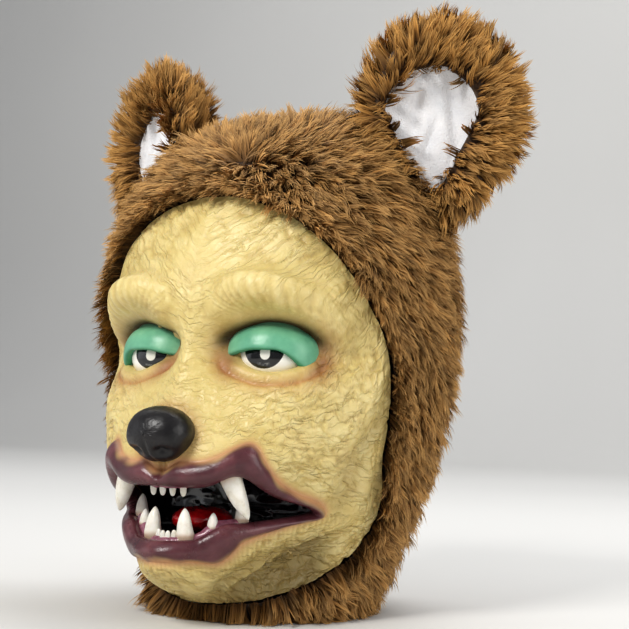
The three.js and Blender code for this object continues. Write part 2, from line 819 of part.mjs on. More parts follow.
// Drop outline in the ear's own plane: round above, narrowing to a point below.
function dropShape(halfWidth, rise, drop, centreAcross, centreHeight) {
  const steps = 14;
  const shape = new THREE.Shape();
  for (let i = 0; i < 2 * steps; i += 1) {
    const turn = (Math.PI * i) / steps;
    const across = Math.cos(turn);
    const up = Math.sin(turn);
    const narrow = up >= 0 ? 1 : DROP_NARROWING;
    const point = [
      centreAcross + halfWidth * superSine(across, narrow),
      centreHeight + (up >= 0 ? rise : drop) * up,
    ];
    if (i === 0) shape.moveTo(...point);
    else shape.lineTo(...point);
  }
  shape.closePath();
  return shape;
}

// A slab with the given outline between two depths, where positive depth is behind the ear.
function slab(shape, near, far) {
  const solid = new THREE.ExtrudeGeometry(shape, { depth: far - near, bevelEnabled: false });
  solid.rotateX(Math.PI / 2);
  solid.translate(0, far, 0);
  return solid;
}

const liningShape = (grow) => dropShape(
  LINING_HALF_WIDTH + grow,
  LINING_RISE + grow,
  LINING_DROP + grow,
  -LINING_INWARD,
  -LINING_CENTRE_DROP,
);

// The seam's direction and middle, in the ear's plane: across and up.
const SEAM_WAY = vec(-Math.sin(SEAM_TILT * RAD), 0, Math.cos(SEAM_TILT * RAD));
const SEAM_MIDDLE = vec(SEAM_OFFSET.x, 0, SEAM_OFFSET.y);

// The round root along the seam, about the hinge axis.
function seamRoll(radius, length) {
  const roll = new THREE.CylinderGeometry(radius, radius, length, 20);
  roll.applyQuaternion(new THREE.Quaternion().setFromUnitVectors(vec(0, 1, 0), SEAM_WAY));
  const middle = SEAM_MIDDLE.clone().addScaledVector(SEAM_WAY, SEAM_SHIFT);
  roll.translate(middle.x, middle.y, middle.z);
  return roll;
}

// The hood as one solid body, grown outward, for cutting the ears to its shape.
function hoodEnvelope(grow) {
  const around = 36;
  const rings = evenLevels(ENVELOPE_BOTTOM_LEVEL, HIGHEST_LEVEL, 24).map((t) => (
    Array.from({ length: around }, (_, j) => offsetPoint((2 * Math.PI * j) / around, t, grow))
  ));
  return toManifold(loftSolid(rings));
}

// Carries a solid made in the ear's plane, facing -Y, to the ear on one side.
function toEar(geometry, side) {
  const right = side < 0;
  geometry.rotateZ(EAR_FACING * RAD);
  geometry.translate(
    EAR_PLANE_POINT.x,
    EAR_PLANE_POINT.y,
    EAR_PLANE_POINT.z - (right ? RIGHT_EAR_DROP : 0),
  );
  if (right) mirrorX(geometry);
  return geometry;
}

const POCKET_NEAR = -EAR_THICKNESS / 2 - POCKET_OPENING;
const POCKET_FAR = LINING_THICKNESS + CORE_THICKNESS - EAR_THICKNESS / 2 + 3 * GAP;

// The hood's envelope as the ear meets it when the ear has swung about its seam.
function swungEnvelope(grow, degrees, side) {
  const seamEnds = [SEAM_MIDDLE, SEAM_MIDDLE.clone().add(SEAM_WAY)];
  const seam = toEar(solidFromLists(seamEnds, []), side);
  const [x, y, z, endX, endY, endZ] = seam.attributes.position.array;
  const axis = vec(endX - x, endY - y, endZ - z).normalize();
  const geometry = toGeometry(hoodEnvelope(grow));
  geometry.translate(-x, -y, -z);
  geometry.applyQuaternion(new THREE.Quaternion().setFromAxisAngle(axis, -degrees * RAD));
  geometry.translate(x, y, z);
  return toManifold(geometry);
}

// An ear piece in its place, cut back to stay clear of the hood wherever the ear swings.
function trimmedEarPiece(manifold, clearance, side) {
  let placed = toManifold(toEar(toGeometry(manifold), side));
  placed = placed.subtract(hoodEnvelope(PILE + clearance));
  for (const degrees of EAR_SWING) {
    placed = placed.subtract(swungEnvelope(PILE + SWING_CLEARANCE, degrees * side, side));
  }
  return toGeometry(placed);
}

function earFur(side) {
  const half = EAR_THICKNESS / 2;
  const outline = dropShape(EAR_HALF_WIDTH, EAR_RISE, EAR_DROP, 0, 0);
  const plate = toManifold(slab(outline, -half, half));
  const keptRoot = toManifold(seamRoll(ROOT_RADIUS + RIM, SEAM_LENGTH));
  const pocket = toManifold(slab(liningShape(GAP), POCKET_NEAR, POCKET_FAR)).subtract(keptRoot);
  const root = toManifold(seamRoll(ROOT_RADIUS, SEAM_LENGTH));
  return trimmedEarPiece(plate.subtract(pocket).add(root), ROOT_CLEARANCE, side);
}

// A flat piece inside the ear's pocket, between two depths, clear of the root.
function pocketPiece(near, far, side) {
  const plate = toManifold(slab(liningShape(0), near, far));
  const keptRoot = toManifold(seamRoll(ROOT_RADIUS + RIM + GAP, SEAM_LENGTH + 2 * GAP));
  return trimmedEarPiece(plate.subtract(keptRoot), EAR_RIM_CLEARANCE, side);
}

function earLining(side) {
  const near = -EAR_THICKNESS / 2;
  return pocketPiece(near, near + LINING_THICKNESS, side);
}

function earCore(side) {
  const near = LINING_THICKNESS + GAP - EAR_THICKNESS / 2;
  return pocketPiece(near, near + CORE_THICKNESS, side);
}

// The hollow in the hood's pile that the ear's root turns in.
function earGroove(side) {
  return toEar(seamRoll(ROOT_RADIUS + ROOT_CLEARANCE, SEAM_LENGTH + 2 * ROOT_CLEARANCE), side);
}

// ---- Assembly ----

const mask = new THREE.Group();

function addNode(name, geometry, material) {
  const node = new THREE.Mesh(geometry, material);
  node.name = name;
  mask.add(node);
}

const SIDES = [
  { label: 'left', sign: 1 },
  { label: 'right', sign: -1 },
];

addNode('face_shell', faceShell(), latexSkin());
addNode('nose', noseBall(0), noseBlack());
addNode('gum_upper', gum(true), gumPink());
addNode('gum_lower', gum(false), gumPink());
addNode('tongue', tongue(), tongueRed());
addNode('mouth_liner', mouthLiner(), linerBlack());
addNode('hood_crown_gusset', crownGusset(), brownPile());
addNode('hood_chin_panel', chinPanel(), brownPile());
addNode('neck_hem_band', neckHem(), hemCloth());

for (const { label, sign } of SIDES) {
  addNode(`eye_${label}`, eyeDome(sign), eyeGloss());
  addNode(`eyelid_${label}`, eyelid(sign), lidGreen());
  addNode(`hood_side_${label}`, hoodSide(sign), brownPile());
  addNode(`ear_fur_${label}`, earFur(sign), brownPile());
  addNode(`ear_lining_${label}`, earLining(sign), whiteFleece());
  addNode(`ear_core_${label}`, earCore(sign), earFoam());
  for (const tooth of TEETH) {
    addNode(`${tooth.name}_${label}`, placeTooth(tooth, sign, 0), toothEnamel());
  }
}

// The origin is below the middle of the whole mask, so the assembly moves back to it.
mask.position.y = FRAME_SHIFT_Y;

export default mask;
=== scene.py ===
import math

import bpy
import numpy as np
from mathutils import Matrix, Vector


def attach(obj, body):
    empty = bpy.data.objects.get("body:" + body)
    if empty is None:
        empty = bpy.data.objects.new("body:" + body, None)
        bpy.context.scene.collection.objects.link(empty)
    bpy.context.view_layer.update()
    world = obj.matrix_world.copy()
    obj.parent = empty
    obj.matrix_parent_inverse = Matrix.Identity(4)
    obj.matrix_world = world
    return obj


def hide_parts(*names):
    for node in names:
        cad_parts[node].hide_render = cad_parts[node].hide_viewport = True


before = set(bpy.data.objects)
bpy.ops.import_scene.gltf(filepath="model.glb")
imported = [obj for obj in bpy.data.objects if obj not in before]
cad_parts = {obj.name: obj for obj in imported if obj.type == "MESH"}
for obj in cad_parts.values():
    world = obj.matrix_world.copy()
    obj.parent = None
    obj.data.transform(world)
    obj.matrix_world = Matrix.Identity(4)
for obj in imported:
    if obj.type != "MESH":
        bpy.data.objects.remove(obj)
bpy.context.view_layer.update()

MM = 0.001

# ---- Driving sizes, in millimetres and degrees ----

TEMPLE_Z, DOME_HEIGHT, NECK_RADIUS = 205.0, 137.0, 66.0
SIDE_HALF, FRONT_HALF, BACK_HALF = 118.0, 117.0, 118.0
NECK_CENTRE_Y, HEAD_CENTRE_Y = -4.0, 10.0
NECK_FLARE, SIDE_ROUNDNESS, FRONT_ROUNDNESS, JAW_TAPER = 0.95, 0.62, 1.37, 0.95
SHIFT_Y = 9.5

OUTLINE_HALF_ANGLE, OUTLINE_MID_Z, OUTLINE_RISE, OUTLINE_DROP, OUTLINE_POWER = 75, 90, 188, 78, 2.4
MOUTH_HALF_ANGLE, MOUTH_MID_Z = 48.5, 70
MM_PER_DEGREE = 1.7
EDGE_GAP = 1.3

EYE_CENTRE = np.array([43.0, -73.0 + SHIFT_Y, 171.0])
EYE_SIZE = np.array([24.0, 21.0, 18.0])
LID_SIZE = np.array([31.0, 26.0, 27.4])
EYE_TURN = 22.0
NOSE_CENTRE = np.array([0.0, -136.0 + SHIFT_Y, 121.0])
NOSE_SIZE = np.array([21.0, 19.0, 18.5])

GUSSET_HALF = 28.0
CHIN_PANEL_ANGLE = 40.0
HAIRLINE_GAP = 1.2

EAR_FACING = 28.0
EAR_PLANE_POINT = np.array([117.0, 22.0 + SHIFT_Y, 350.0])
RIGHT_EAR_DROP = 13.0
EAR_HALF_WIDTH, EAR_RISE, EAR_DROP, EAR_THICKNESS = 50.0, 58.0, 80.0, 22.0
LINING_HALF_WIDTH, LINING_RISE, LINING_DROP, LINING_INWARD, LINING_CENTRE_DROP = 32.0, 31.0, 62.0, 7.0, 3.0


# ---- Plain mathematics ----

def smooth(low, high, x):
    t = np.clip((x - low) / (high - low), 0, 1)
    return t * t * (3 - 2 * t)


def bell(x, width):
    return np.exp(-((x / width) ** 2))


def unit(v):
    return v / np.maximum(np.linalg.norm(v, axis=-1, keepdims=True), 1e-9)


def lattice(ix, iy, seed):
    """A repeatable random value from 0 to 1 for each whole-number place."""
    h = (ix.astype(np.int64) * 374761393 + iy.astype(np.int64) * 668265263 + seed * 974634777) & 0xFFFFFFFF
    h = ((h ^ (h >> 13)) * 1274126177) & 0xFFFFFFFF
    return ((h ^ (h >> 16)) & 0xFFFFFF) / 0xFFFFFF


def noise(u, v, seed=0):
    """Smooth value noise from -1 to 1 over a plane."""
    iu, iv = np.floor(u), np.floor(v)
    fu, fv = u - iu, v - iv
    fu, fv = fu * fu * (3 - 2 * fu), fv * fv * (3 - 2 * fv)
    a = lattice(iu, iv, seed) * (1 - fu) + lattice(iu + 1, iv, seed) * fu
    b = lattice(iu, iv + 1, seed) * (1 - fu) + lattice(iu + 1, iv + 1, seed) * fu
    return 2 * (a * (1 - fv) + b * fv) - 1


# ---- The head's skin ----

def muzzle_reach(z):
    return 48 * smooth(0, 60, z) * (1 - smooth(52, 190, z))


def section(t):
    """Height, centre, side, front and back of the hood at level t: 0 neck, 1 temples, 2 crown."""
    low = np.clip(t, 0, 1)
    flare = np.sin(low * np.pi / 2) ** NECK_FLARE
    rise = np.clip(t - 1, 0, 1) * np.pi / 2
    round_in = np.maximum(np.cos(rise), 1e-4)
    z = np.where(t <= 1, low * TEMPLE_Z, TEMPLE_Z + DOME_HEIGHT * np.sin(rise))

    def grow(half):
        return NECK_RADIUS + (half - NECK_RADIUS) * flare

    centre = NECK_CENTRE_Y + (HEAD_CENTRE_Y - NECK_CENTRE_Y) * flare
    side = grow(SIDE_HALF) * round_in ** SIDE_ROUNDNESS
    front = grow(FRONT_HALF) * round_in ** FRONT_ROUNDNESS + np.where(t <= 1, muzzle_reach(z), 0)
    back = grow(BACK_HALF) * round_in ** SIDE_ROUNDNESS
    return z, centre, side, front, back


def level_of(z):
    above = np.arcsin(np.clip((z - TEMPLE_Z) / DOME_HEIGHT, 0, 1)) / (np.pi / 2)
    return np.where(z <= TEMPLE_Z, z / TEMPLE_Z, 1 + above)


# Facial mounds and hollows: reach, distance from the middle, width, height above ground, tallness, outward fall.
FEATURES = [
    (22, 0, 25, 33, 15, 0), (6, 30, 17, 106, 17, 0), (9, 0, 24, 126, 24, 0), (6, 0, 15, 165, 34, 0),
    (-15, 49, 31, 175, 17, 0), (-5, 21, 9, 174, 14, 0), (15, 55, 32, 217, 11, 0.2), (6, 74, 24, 136, 24, 0),
]


def feature_reach(x, z):
    s = np.abs(x)
    total = 0
    for reach, side, width, mid_z, height, fall in FEATURES:
        total = total + reach * bell(s - side, width) * bell(z - mid_z + fall * np.maximum(0, s - side), height)
    return total


def jaw_taper(z):
    return 1 + JAW_TAPER * smooth(8, 35, z) * (1 - smooth(58, 112, z))


def skin_point(theta, t):
    z, centre, side, front, back = section(t)
    x = side * np.sin(theta)
    facing = np.cos(theta)
    ahead = np.maximum(facing, 0)
    y_front = centre - front * ahead ** jaw_taper(z) - feature_reach(x, z) * smooth(0, 0.35, facing)
    y = np.where(facing <= 0, centre - back * facing, y_front)
    return np.stack([x, y + SHIFT_Y, z + 0 * x], -1)


def skin_normal(theta, t):
    step = 0.004
    across = skin_point(theta + step, t) - skin_point(theta - step, t)
    up = skin_point(theta, np.minimum(t + step, 1.999)) - skin_point(theta, np.maximum(t - step, 0))
    return unit(np.cross(across, up))


def offset_point(theta, t, out):
    normal = skin_normal(theta, t)
    flat = normal * np.array([1, 1, 0])
    normal = np.where((t <= 0)[..., None], unit(flat), normal)
    point = skin_point(theta, t) + normal * np.asarray(out)[..., None]
    point[..., 2] = np.maximum(point[..., 2], 0)
    return point


# ---- Face outline and mouth ----

def signed_power(value, power):
    return np.sign(value) * np.abs(value) ** power


def outline_at(psi):
    up = np.sin(psi) >= 0
    power = np.where(up, 1, 2 / OUTLINE_POWER)
    angle = OUTLINE_HALF_ANGLE * signed_power(np.cos(psi), power)
    z = OUTLINE_MID_Z + np.where(up, OUTLINE_RISE, OUTLINE_DROP) * signed_power(np.sin(psi), power)
    return angle, z


def mouth_at(psi):
    across, opening = np.cos(psi), np.sin(psi)
    side = np.abs(across)
    line = MOUTH_MID_Z + 3 * across ** 2
    upper = 19.5 - 4 * smooth(0.5, 1, side) + 11.5 * bell(side - 0.56, 0.145)
    lower = 6.3 + 9.3 * (1 - smooth(0.28, 0.5, side))
    return MOUTH_HALF_ANGLE * across, line + opening * np.where(opening >= 0, upper, lower)


def lip_width(psi):
    side = np.abs(np.cos(psi))
    upper = 9 + 5.5 * smooth(0.02, 0.15, side) + 5 * bell(side - 0.52, 0.15) - 9 * smooth(0.58, 0.9, side)
    lower = 12 + 3 * bell(side - 0.37, 0.12) - 6.5 * smooth(0.4, 0.85, side)
    share = smooth(-0.3, 0.3, np.sin(psi))
    return upper * share + lower * (1 - share)


def near_mouth(psi, distance):
    """Angle and height at a distance out from the mouth's edge, and the whole way to the outline."""
    mouth_angle, mouth_z = mouth_at(psi)
    edge_angle, edge_z = outline_at(psi)
    across = (edge_angle - mouth_angle) * MM_PER_DEGREE
    up = edge_z - mouth_z
    length = np.hypot(across, up)
    return mouth_angle + across / length / MM_PER_DEGREE * distance, mouth_z + up / length * distance, length


def face_point(angle, z, out):
    return offset_point(np.radians(angle), level_of(z), out)


# ---- Meshes ----

def make_mesh(name, points, faces, uv=None, masks=None, smooth_shading=True):
    """A mesh object from points in millimetres and rows of equal-length faces."""
    points = np.ascontiguousarray(points, np.float32) * np.float32(MM)
    faces = np.ascontiguousarray(faces, np.int32)
    sides = faces.shape[1]
    mesh = bpy.data.meshes.new(name)
    mesh.vertices.add(len(points))
    mesh.vertices.foreach_set("co", points.ravel())
    mesh.loops.add(faces.size)
    mesh.loops.foreach_set("vertex_index", faces.ravel())
    mesh.polygons.add(len(faces))
    mesh.polygons.foreach_set("loop_start", np.arange(0, faces.size, sides, dtype=np.int32))
    mesh.polygons.foreach_set("use_smooth", np.full(len(faces), smooth_shading))
    mesh.update(calc_edges=True)
    if uv is not None:
        layer = mesh.uv_layers.new(name=uv[0])
        layer.data.foreach_set("uv", np.ascontiguousarray(uv[1], np.float32)[faces.ravel()].ravel())
    for key, values in (masks or {}).items():
        mask = mesh.attributes.new(key, "FLOAT", "POINT")
        mask.data.foreach_set("value", np.ascontiguousarray(values, np.float32).ravel())
    obj = bpy.data.objects.new(name, mesh)
    bpy.context.scene.collection.objects.link(obj)
    return obj


def grid_faces(rows, columns, wrapped=False):
    i, j = np.meshgrid(np.arange(rows - 1), np.arange(columns if wrapped else columns - 1), indexing="ij")
    after = (j + 1) % columns
    a, b = i * columns + j, i * columns + after
    return np.stack([a, b, b + columns, a + columns], -1).reshape(-1, 4)


def finish_piece(obj, material, body="hood", nodes=()):
    obj.data.materials.append(material)
    if body:
        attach(obj, body)
    if nodes:
        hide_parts(*nodes)
    return obj


def grid_piece(name, grid, wrapped=False, flip=False, uv=None, masks=None):
    rows, columns = grid.shape[:2]
    faces = grid_faces(rows, columns, wrapped)
    if flip:
        faces = faces[:, ::-1]
    if uv is not None:
        uv = (uv[0], uv[1].reshape(-1, 2))
    return make_mesh(name, grid.reshape(-1, 3), faces, uv, masks)


# ---- Materials ----

def linear(rgb):
    c = np.array(rgb, float) / 255
    return tuple(np.where(c <= 0.04045, c / 12.92, ((c + 0.055) / 1.055) ** 2.4)) + (1.0,)


class Shader:
    """A small hand for building a Principled material from nodes."""

    def __init__(self, name, **values):
        self.material = bpy.data.materials.new(name)
        self.material.use_nodes = True
        self.tree = self.material.node_tree
        self.principled = self.tree.nodes["Principled BSDF"]
        for key, value in values.items():
            self.set(key.replace("_", " "), value)

    def set(self, key, value):
        socket = self.principled.inputs[key]
        if isinstance(value, bpy.types.NodeSocket):
            self.tree.links.new(value, socket)
        else:
            socket.default_value = value

    def node(self, kind, inputs=None, **settings):
        made = self.tree.nodes.new(kind)
        for key, value in settings.items():
            setattr(made, key, value)
        for key, value in (inputs or {}).items():
            if isinstance(value, bpy.types.NodeSocket):
                self.tree.links.new(value, made.inputs[key])
            else:
                made.inputs[key].default_value = value
        return made

    def mask(self, name):
        return self.node("ShaderNodeAttribute", attribute_name=name).outputs["Fac"]

    def place(self, scale=(1, 1, 1)):
        source = self.node("ShaderNodeTexCoord").outputs["Object"]
        return self.node("ShaderNodeMapping", {"Vector": source, "Scale": scale}).outputs["Vector"]

    def noise(self, scale, detail=3.0, rough=0.55, place=None):
        where = place or self.place()
        return self.node("ShaderNodeTexNoise", {"Vector": where, "Scale": scale, "Detail": detail,
                                                "Roughness": rough}).outputs["Fac"]

    def cells(self, scale, feature="F1", place=None):
        where = place or self.place()
        return self.node("ShaderNodeTexVoronoi", {"Vector": where, "Scale": scale},
                         feature=feature).outputs["Distance"]

    def math(self, operation, a, b=0.0, clamp=False):
        made = self.node("ShaderNodeMath", {0: a, 1: b}, operation=operation)
        made.use_clamp = clamp
        return made.outputs[0]

    def ramp(self, value, stops):
        made = self.node("ShaderNodeValToRGB", {"Fac": value})
        elements = made.color_ramp.elements
        while len(elements) < len(stops):
            elements.new(0.5)
        for element, (at, rgb) in zip(elements, stops):
            element.position = at
            element.color = linear(rgb)
        return made.outputs["Color"]

    def remap(self, value, low, high, to_low=0.0, to_high=1.0):
        return self.node("ShaderNodeMapRange", {"Value": value, "From Min": low, "From Max": high,
                                                "To Min": to_low, "To Max": to_high}).outputs["Result"]

    def mix(self, share, a, b, blend="MIX"):
        made = self.node("ShaderNodeMix", data_type="RGBA", blend_type=blend)
        made.inputs[0].default_value = 1.0
        for index, value in ((0, share), (6, a), (7, b)):
            if isinstance(value, bpy.types.NodeSocket):
                self.tree.links.new(value, made.inputs[index])
            else:
                made.inputs[index].default_value = value
        return made.outputs[2]

    def bump(self, height, distance, strength=1.0):
        made = self.node("ShaderNodeBump", {"Height": height, "Distance": distance, "Strength": strength})
        self.set("Normal", made.outputs["Normal"])


def latex_material():
    s = Shader("latex_skin", Roughness=0.46)
    mottled = s.noise(38, 5)
    speckle = s.noise(420, 3)
    base = s.ramp(mottled, [(0.3, (212, 189, 120)), (0.52, (222, 201, 134)), (0.74, (229, 210, 146))])
    base = s.mix(s.remap(speckle, 0.52, 0.72, 0, 0.35), base, linear((240, 226, 168)))
    # Painted shade: darker in the wrinkles' grooves, along the chin crease and along the jowl fold.
    base = s.mix(s.math("MULTIPLY", s.mask("PaintedGrooveShade"), 0.5), base, linear((170, 142, 84)))
    # Painted highlight: lighter on the wrinkles' ridges and the brow's top.
    base = s.mix(s.math("MULTIPLY", s.mask("High"), 0.4), base, linear((243, 230, 176)))
    base = s.mix(s.mask("Shade"), base, linear((126, 108, 62)))
    brushed = s.math("ADD", s.mask("Blush"), s.remap(mottled, 0.3, 0.7, -0.08, 0.08), clamp=True)
    base = s.mix(brushed, base, linear((178, 120, 70)))
    base = s.mix(s.mask("Pink"), base, linear((196, 128, 104)))
    base = s.mix(s.mask("Brown"), base, linear((62, 42, 26)))
    plum = s.ramp(s.noise(60, 4), [(0.3, (74, 40, 46)), (0.55, (98, 56, 62)), (0.75, (122, 76, 80))])
    base = s.mix(s.mask("Lip"), base, plum)
    s.set("Base Color", base)
    s.set("Roughness", s.math("ADD", s.remap(mottled, 0.3, 0.7, 0.36, 0.48),
                              s.math("MULTIPLY", s.mask("Lip"), -0.14)))
    s.set("Subsurface Weight", 0.08)
    s.set("Subsurface Radius", (0.004, 0.0022, 0.001))
    skin = s.node("ShaderNodeUVMap", uv_map="SkinMap").outputs["UV"]

    sway = s.node("ShaderNodeTexNoise", {"Vector": skin, "Scale": 1.3, "Detail": 3.0}).outputs["Color"]
    swayed = s.node("ShaderNodeVectorMath", {0: sway, 1: (1.1, 1.1, 0.0)}, operation="MULTIPLY").outputs[0]
    swayed = s.node("ShaderNodeVectorMath", {0: skin, 1: swayed}, operation="ADD").outputs[0]

    def flakes(scale, turn, seed, low, high):
        """Grooves between long flakes, which fade in and out in patches. 1 is level, 0 is deep."""
        place = s.node("ShaderNodeMapping", {"Vector": swayed, "Rotation": (0, 0, turn), "Scale": scale,
                                             "Location": (seed, seed, 0)}).outputs["Vector"]
        edge = s.remap(s.cells(1.0, "DISTANCE_TO_EDGE", place), 0.0, 0.16)
        patch = s.remap(s.noise(0.55, 2, 0.5, place), low, high)
        return s.math("SUBTRACT", 1.0, s.math("MULTIPLY", s.math("SUBTRACT", 1.0, edge), patch))

    cheek = s.math("MULTIPLY", flakes((1.2, 3.4, 1), 0.0, 3.0, 0.38, 0.6), flakes((0.8, 2.6, 1), 0.5, 9.0, 0.5, 0.7))
    brow = s.math("MULTIPLY", flakes((0.5, 2.8, 1), 0.0, 5.0, 0.4, 0.6), flakes((0.9, 3.4, 1), -0.35, 14.0, 0.5, 0.7))
    upper = s.mask("Upper")
    lines = s.math("ADD", s.math("MULTIPLY", brow, upper), s.math("MULTIPLY", cheek, s.math("SUBTRACT", 1.0, upper)))
    lines = s.math("SUBTRACT", 1.0, s.math("MULTIPLY", s.math("SUBTRACT", 1.0, lines), s.mask("Calm")))
    # Painted shade: the flake grooves are darkened.
    base = s.mix(s.math("MULTIPLY", s.math("SUBTRACT", 1.0, lines), 0.22), base, linear((160, 132, 74)))
    s.set("Base Color", base)
    fine = s.math("ADD", lines, s.math("MULTIPLY", s.noise(620, 4), 0.12))
    s.bump(fine, 0.0008, 0.9)
    return s.material


def inside_material():
    s = Shader("latex_inside", Roughness=0.7)
    s.set("Base Color", s.ramp(s.noise(50, 5), [(0.3, (186, 160, 104)), (0.7, (220, 198, 142))]))
    s.bump(s.noise(160, 5), 0.001, 0.6)
    return s.material


def lid_material():
    s = Shader("lid_green")
    cloudy = s.noise(70, 4)
    base = s.ramp(cloudy, [(0.3, (98, 164, 134)), (0.55, (116, 180, 146)), (0.78, (140, 196, 162))])
    base = s.mix(s.mask("Rim"), base, linear((52, 138, 110)))
    base = s.mix(s.mask("Crease"), base, linear((58, 52, 30)))
    s.set("Base Color", base)
    s.set("Roughness", s.remap(cloudy, 0.3, 0.7, 0.28, 0.4))
    s.bump(s.noise(420, 3), 0.0003, 0.4)
    return s.material


def eye_material():
    """White, a black iris with grey strokes, and a pale upright highlight, all painted by distance."""
    s = Shader("eye_gloss", Roughness=0.12)
    s.set("Coat Weight", 0.6)
    s.set("Coat Roughness", 0.04)
    uv = s.node("ShaderNodeUVMap", uv_map="EyeMap").outputs["UV"]
    parts = s.node("ShaderNodeSeparateXYZ", {"Vector": uv})
    x, z = parts.outputs["X"], parts.outputs["Y"]
    far = s.math("POWER", s.math("ADD", s.math("POWER", x, 2.0), s.math("POWER", z, 2.0)), 0.5)
    turn = s.math("ARCTAN2", z, x)
    wobble = s.math("MULTIPLY", s.noise(300, 2), 0.02)
    edge = s.math("ADD", far, wobble)
    iris = s.remap(edge, 0.98, 1.01, 1, 0)
    white = s.ramp(s.noise(90, 3), [(0.3, (236, 232, 222)), (0.7, (246, 244, 238))])
    base = s.mix(iris, white, linear((9, 9, 10)))
    ring = s.math("MULTIPLY", s.remap(far, 0.70, 0.76), s.remap(far, 0.80, 0.87, 1, 0))
    arcs = s.math("MULTIPLY", ring, s.remap(s.math("SINE", s.math("MULTIPLY", turn, 3.0)), 0.15, 0.75))
    arcs = s.math("MULTIPLY", arcs, s.remap(s.noise(700, 2), 0.36, 0.56))
    base = s.mix(s.math("MULTIPLY", arcs, 0.5), base, linear((150, 152, 152)))
    inner = s.math("MULTIPLY", s.remap(far, 0.34, 0.4), s.remap(far, 0.5, 0.6, 1, 0))
    rays = s.math("MULTIPLY", inner, s.remap(s.math("SINE", s.math("MULTIPLY", turn, 9.0)), 0.6, 0.95))
    base = s.mix(s.math("MULTIPLY", rays, 0.15), base, linear((96, 98, 100)))
    glint_x = s.math("SUBTRACT", x, 0.06)
    below = s.math("MINIMUM", s.math("ADD", z, 0.32), 0.0)
    glint = s.math("POWER", s.math("ADD", s.math("POWER", glint_x, 2.0), s.math("POWER", below, 2.0)), 0.5)
    base = s.mix(s.remap(glint, 0.225, 0.255, 1, 0), base, linear((226, 224, 214)))
    s.set("Base Color", base)
    s.bump(s.noise(300, 2), 0.0001, 0.25)
    return s.material


def nose_material():
    s = Shader("nose_black")
    grain = s.math("MULTIPLY", s.cells(900), 0.35)
    s.set("Base Color", s.ramp(s.noise(60, 4), [(0.3, (16, 15, 16)), (0.7, (34, 31, 32))]))
    s.set("Roughness", s.remap(s.noise(90, 4), 0.3, 0.7, 0.28, 0.42))
    s.bump(s.math("ADD", grain, s.noise(240, 4)), 0.0003, 0.35)
    return s.material


def tooth_material():
    s = Shader("tooth_enamel", Roughness=0.3)
    cloudy = s.noise(140, 4)
    base = s.ramp(cloudy, [(0.3, (226, 220, 204)), (0.6, (240, 237, 228)), (0.8, (246, 244, 238))])
    base = s.mix(s.math("MULTIPLY", s.mask("Root"), s.remap(cloudy, 0.3, 0.7, 0.5, 1.0)), base,
                 linear((190, 160, 132)))
    s.set("Base Color", base)
    s.set("Subsurface Weight", 0.1)
    s.set("Subsurface Radius", (0.002, 0.0014, 0.001))
    s.set("Roughness", s.remap(cloudy, 0.3, 0.7, 0.24, 0.4))
    s.bump(s.noise(260, 4, place=s.place((1, 1, 0.3))), 0.0005, 0.4)
    return s.material


def gum_material():
    s = Shader("gum_pink", Roughness=0.24)
    s.set("Base Color", s.ramp(s.noise(170, 5), [(0.28, (98, 50, 66)), (0.5, (142, 88, 104)),
                                                 (0.75, (176, 122, 134))]))
    s.set("Coat Weight", 0.4)
    s.bump(s.noise(280, 5), 0.0008, 0.7)
    return s.material


def tongue_material():
    s = Shader("tongue_red", Roughness=0.14)
    s.set("Base Color", s.ramp(s.noise(150, 4), [(0.3, (160, 6, 14)), (0.55, (206, 18, 28)),
                                                 (0.8, (228, 40, 46))]))
    s.set("Coat Weight", 0.6)
    s.set("Coat Roughness", 0.06)
    s.bump(s.math("ADD", s.cells(420), s.noise(200, 4)), 0.0007, 0.6)
    return s.material


def liner_material():
    s = Shader("liner_black", Roughness=0.1)
    s.set("Base Color", s.ramp(s.noise(70, 5), [(0.35, (10, 10, 12)), (0.6, (24, 23, 27)), (0.8, (46, 42, 48))]))
    s.set("Coat Weight", 0.7)
    s.set("Coat Roughness", 0.08)
    s.bump(s.noise(60, 2), 0.0022, 0.6)
    return s.material


def fur_material(name, root, middle, tip, dull):
    """Colour runs along each strand, and the strand's own tone shifts it."""
    s = Shader(name, Roughness=0.62)
    uv = s.node("ShaderNodeUVMap", uv_map="OFBake").outputs["UV"]
    parts = s.node("ShaderNodeSeparateXYZ", {"Vector": uv})
    # Darker at the root and lighter at the tip: partly the pile's own colour, partly painted shade deep in the pile
    # and painted highlight on the tips.
    along = s.ramp(parts.outputs["Y"], [(0.0, root), (0.5, middle), (1.0, tip)])
    dusty = s.ramp(parts.outputs["Y"], [(0.0, root), (0.6, dull), (1.0, tip)])
    base = s.mix(s.remap(parts.outputs["X"], 0.1, 0.9), dusty, along)
    bright = s.node("ShaderNodeHueSaturation", {"Color": base, "Value": s.remap(parts.outputs["X"], 0, 1, 0.66, 1.3)})
    s.set("Base Color", bright.outputs["Color"])
    s.set("Sheen Weight", 0.25)
    s.set("Sheen Roughness", 0.5)
    s.set("Sheen Tint", linear((220, 180, 120)))
    s.set("Specular IOR Level", 0.25)
    return s.material


def backing_material():
    s = Shader("pile_backing", Roughness=0.95)
    s.set("Base Color", s.ramp(s.noise(260, 5), [(0.3, (62, 40, 18)), (0.7, (104, 72, 38))]))
    s.set("Sheen Weight", 0.2)
    weave = s.node("ShaderNodeTexWave", {"Vector": s.place(), "Scale": 420.0, "Distortion": 3.0})
    s.bump(s.math("ADD", weave.outputs["Fac"], s.noise(500, 4)), 0.0012, 0.8)
    return s.material


def hem_material():
    s = Shader("hem_cloth", Roughness=0.9)
    s.set("Base Color", s.ramp(s.noise(200, 5), [(0.3, (88, 58, 30)), (0.7, (118, 82, 46))]))
    weave = s.node("ShaderNodeTexWave", {"Vector": s.place(), "Scale": 380.0, "Distortion": 1.0})
    s.bump(s.math("ADD", weave.outputs["Fac"], s.noise(600, 3)), 0.0005, 0.7)
    return s.material


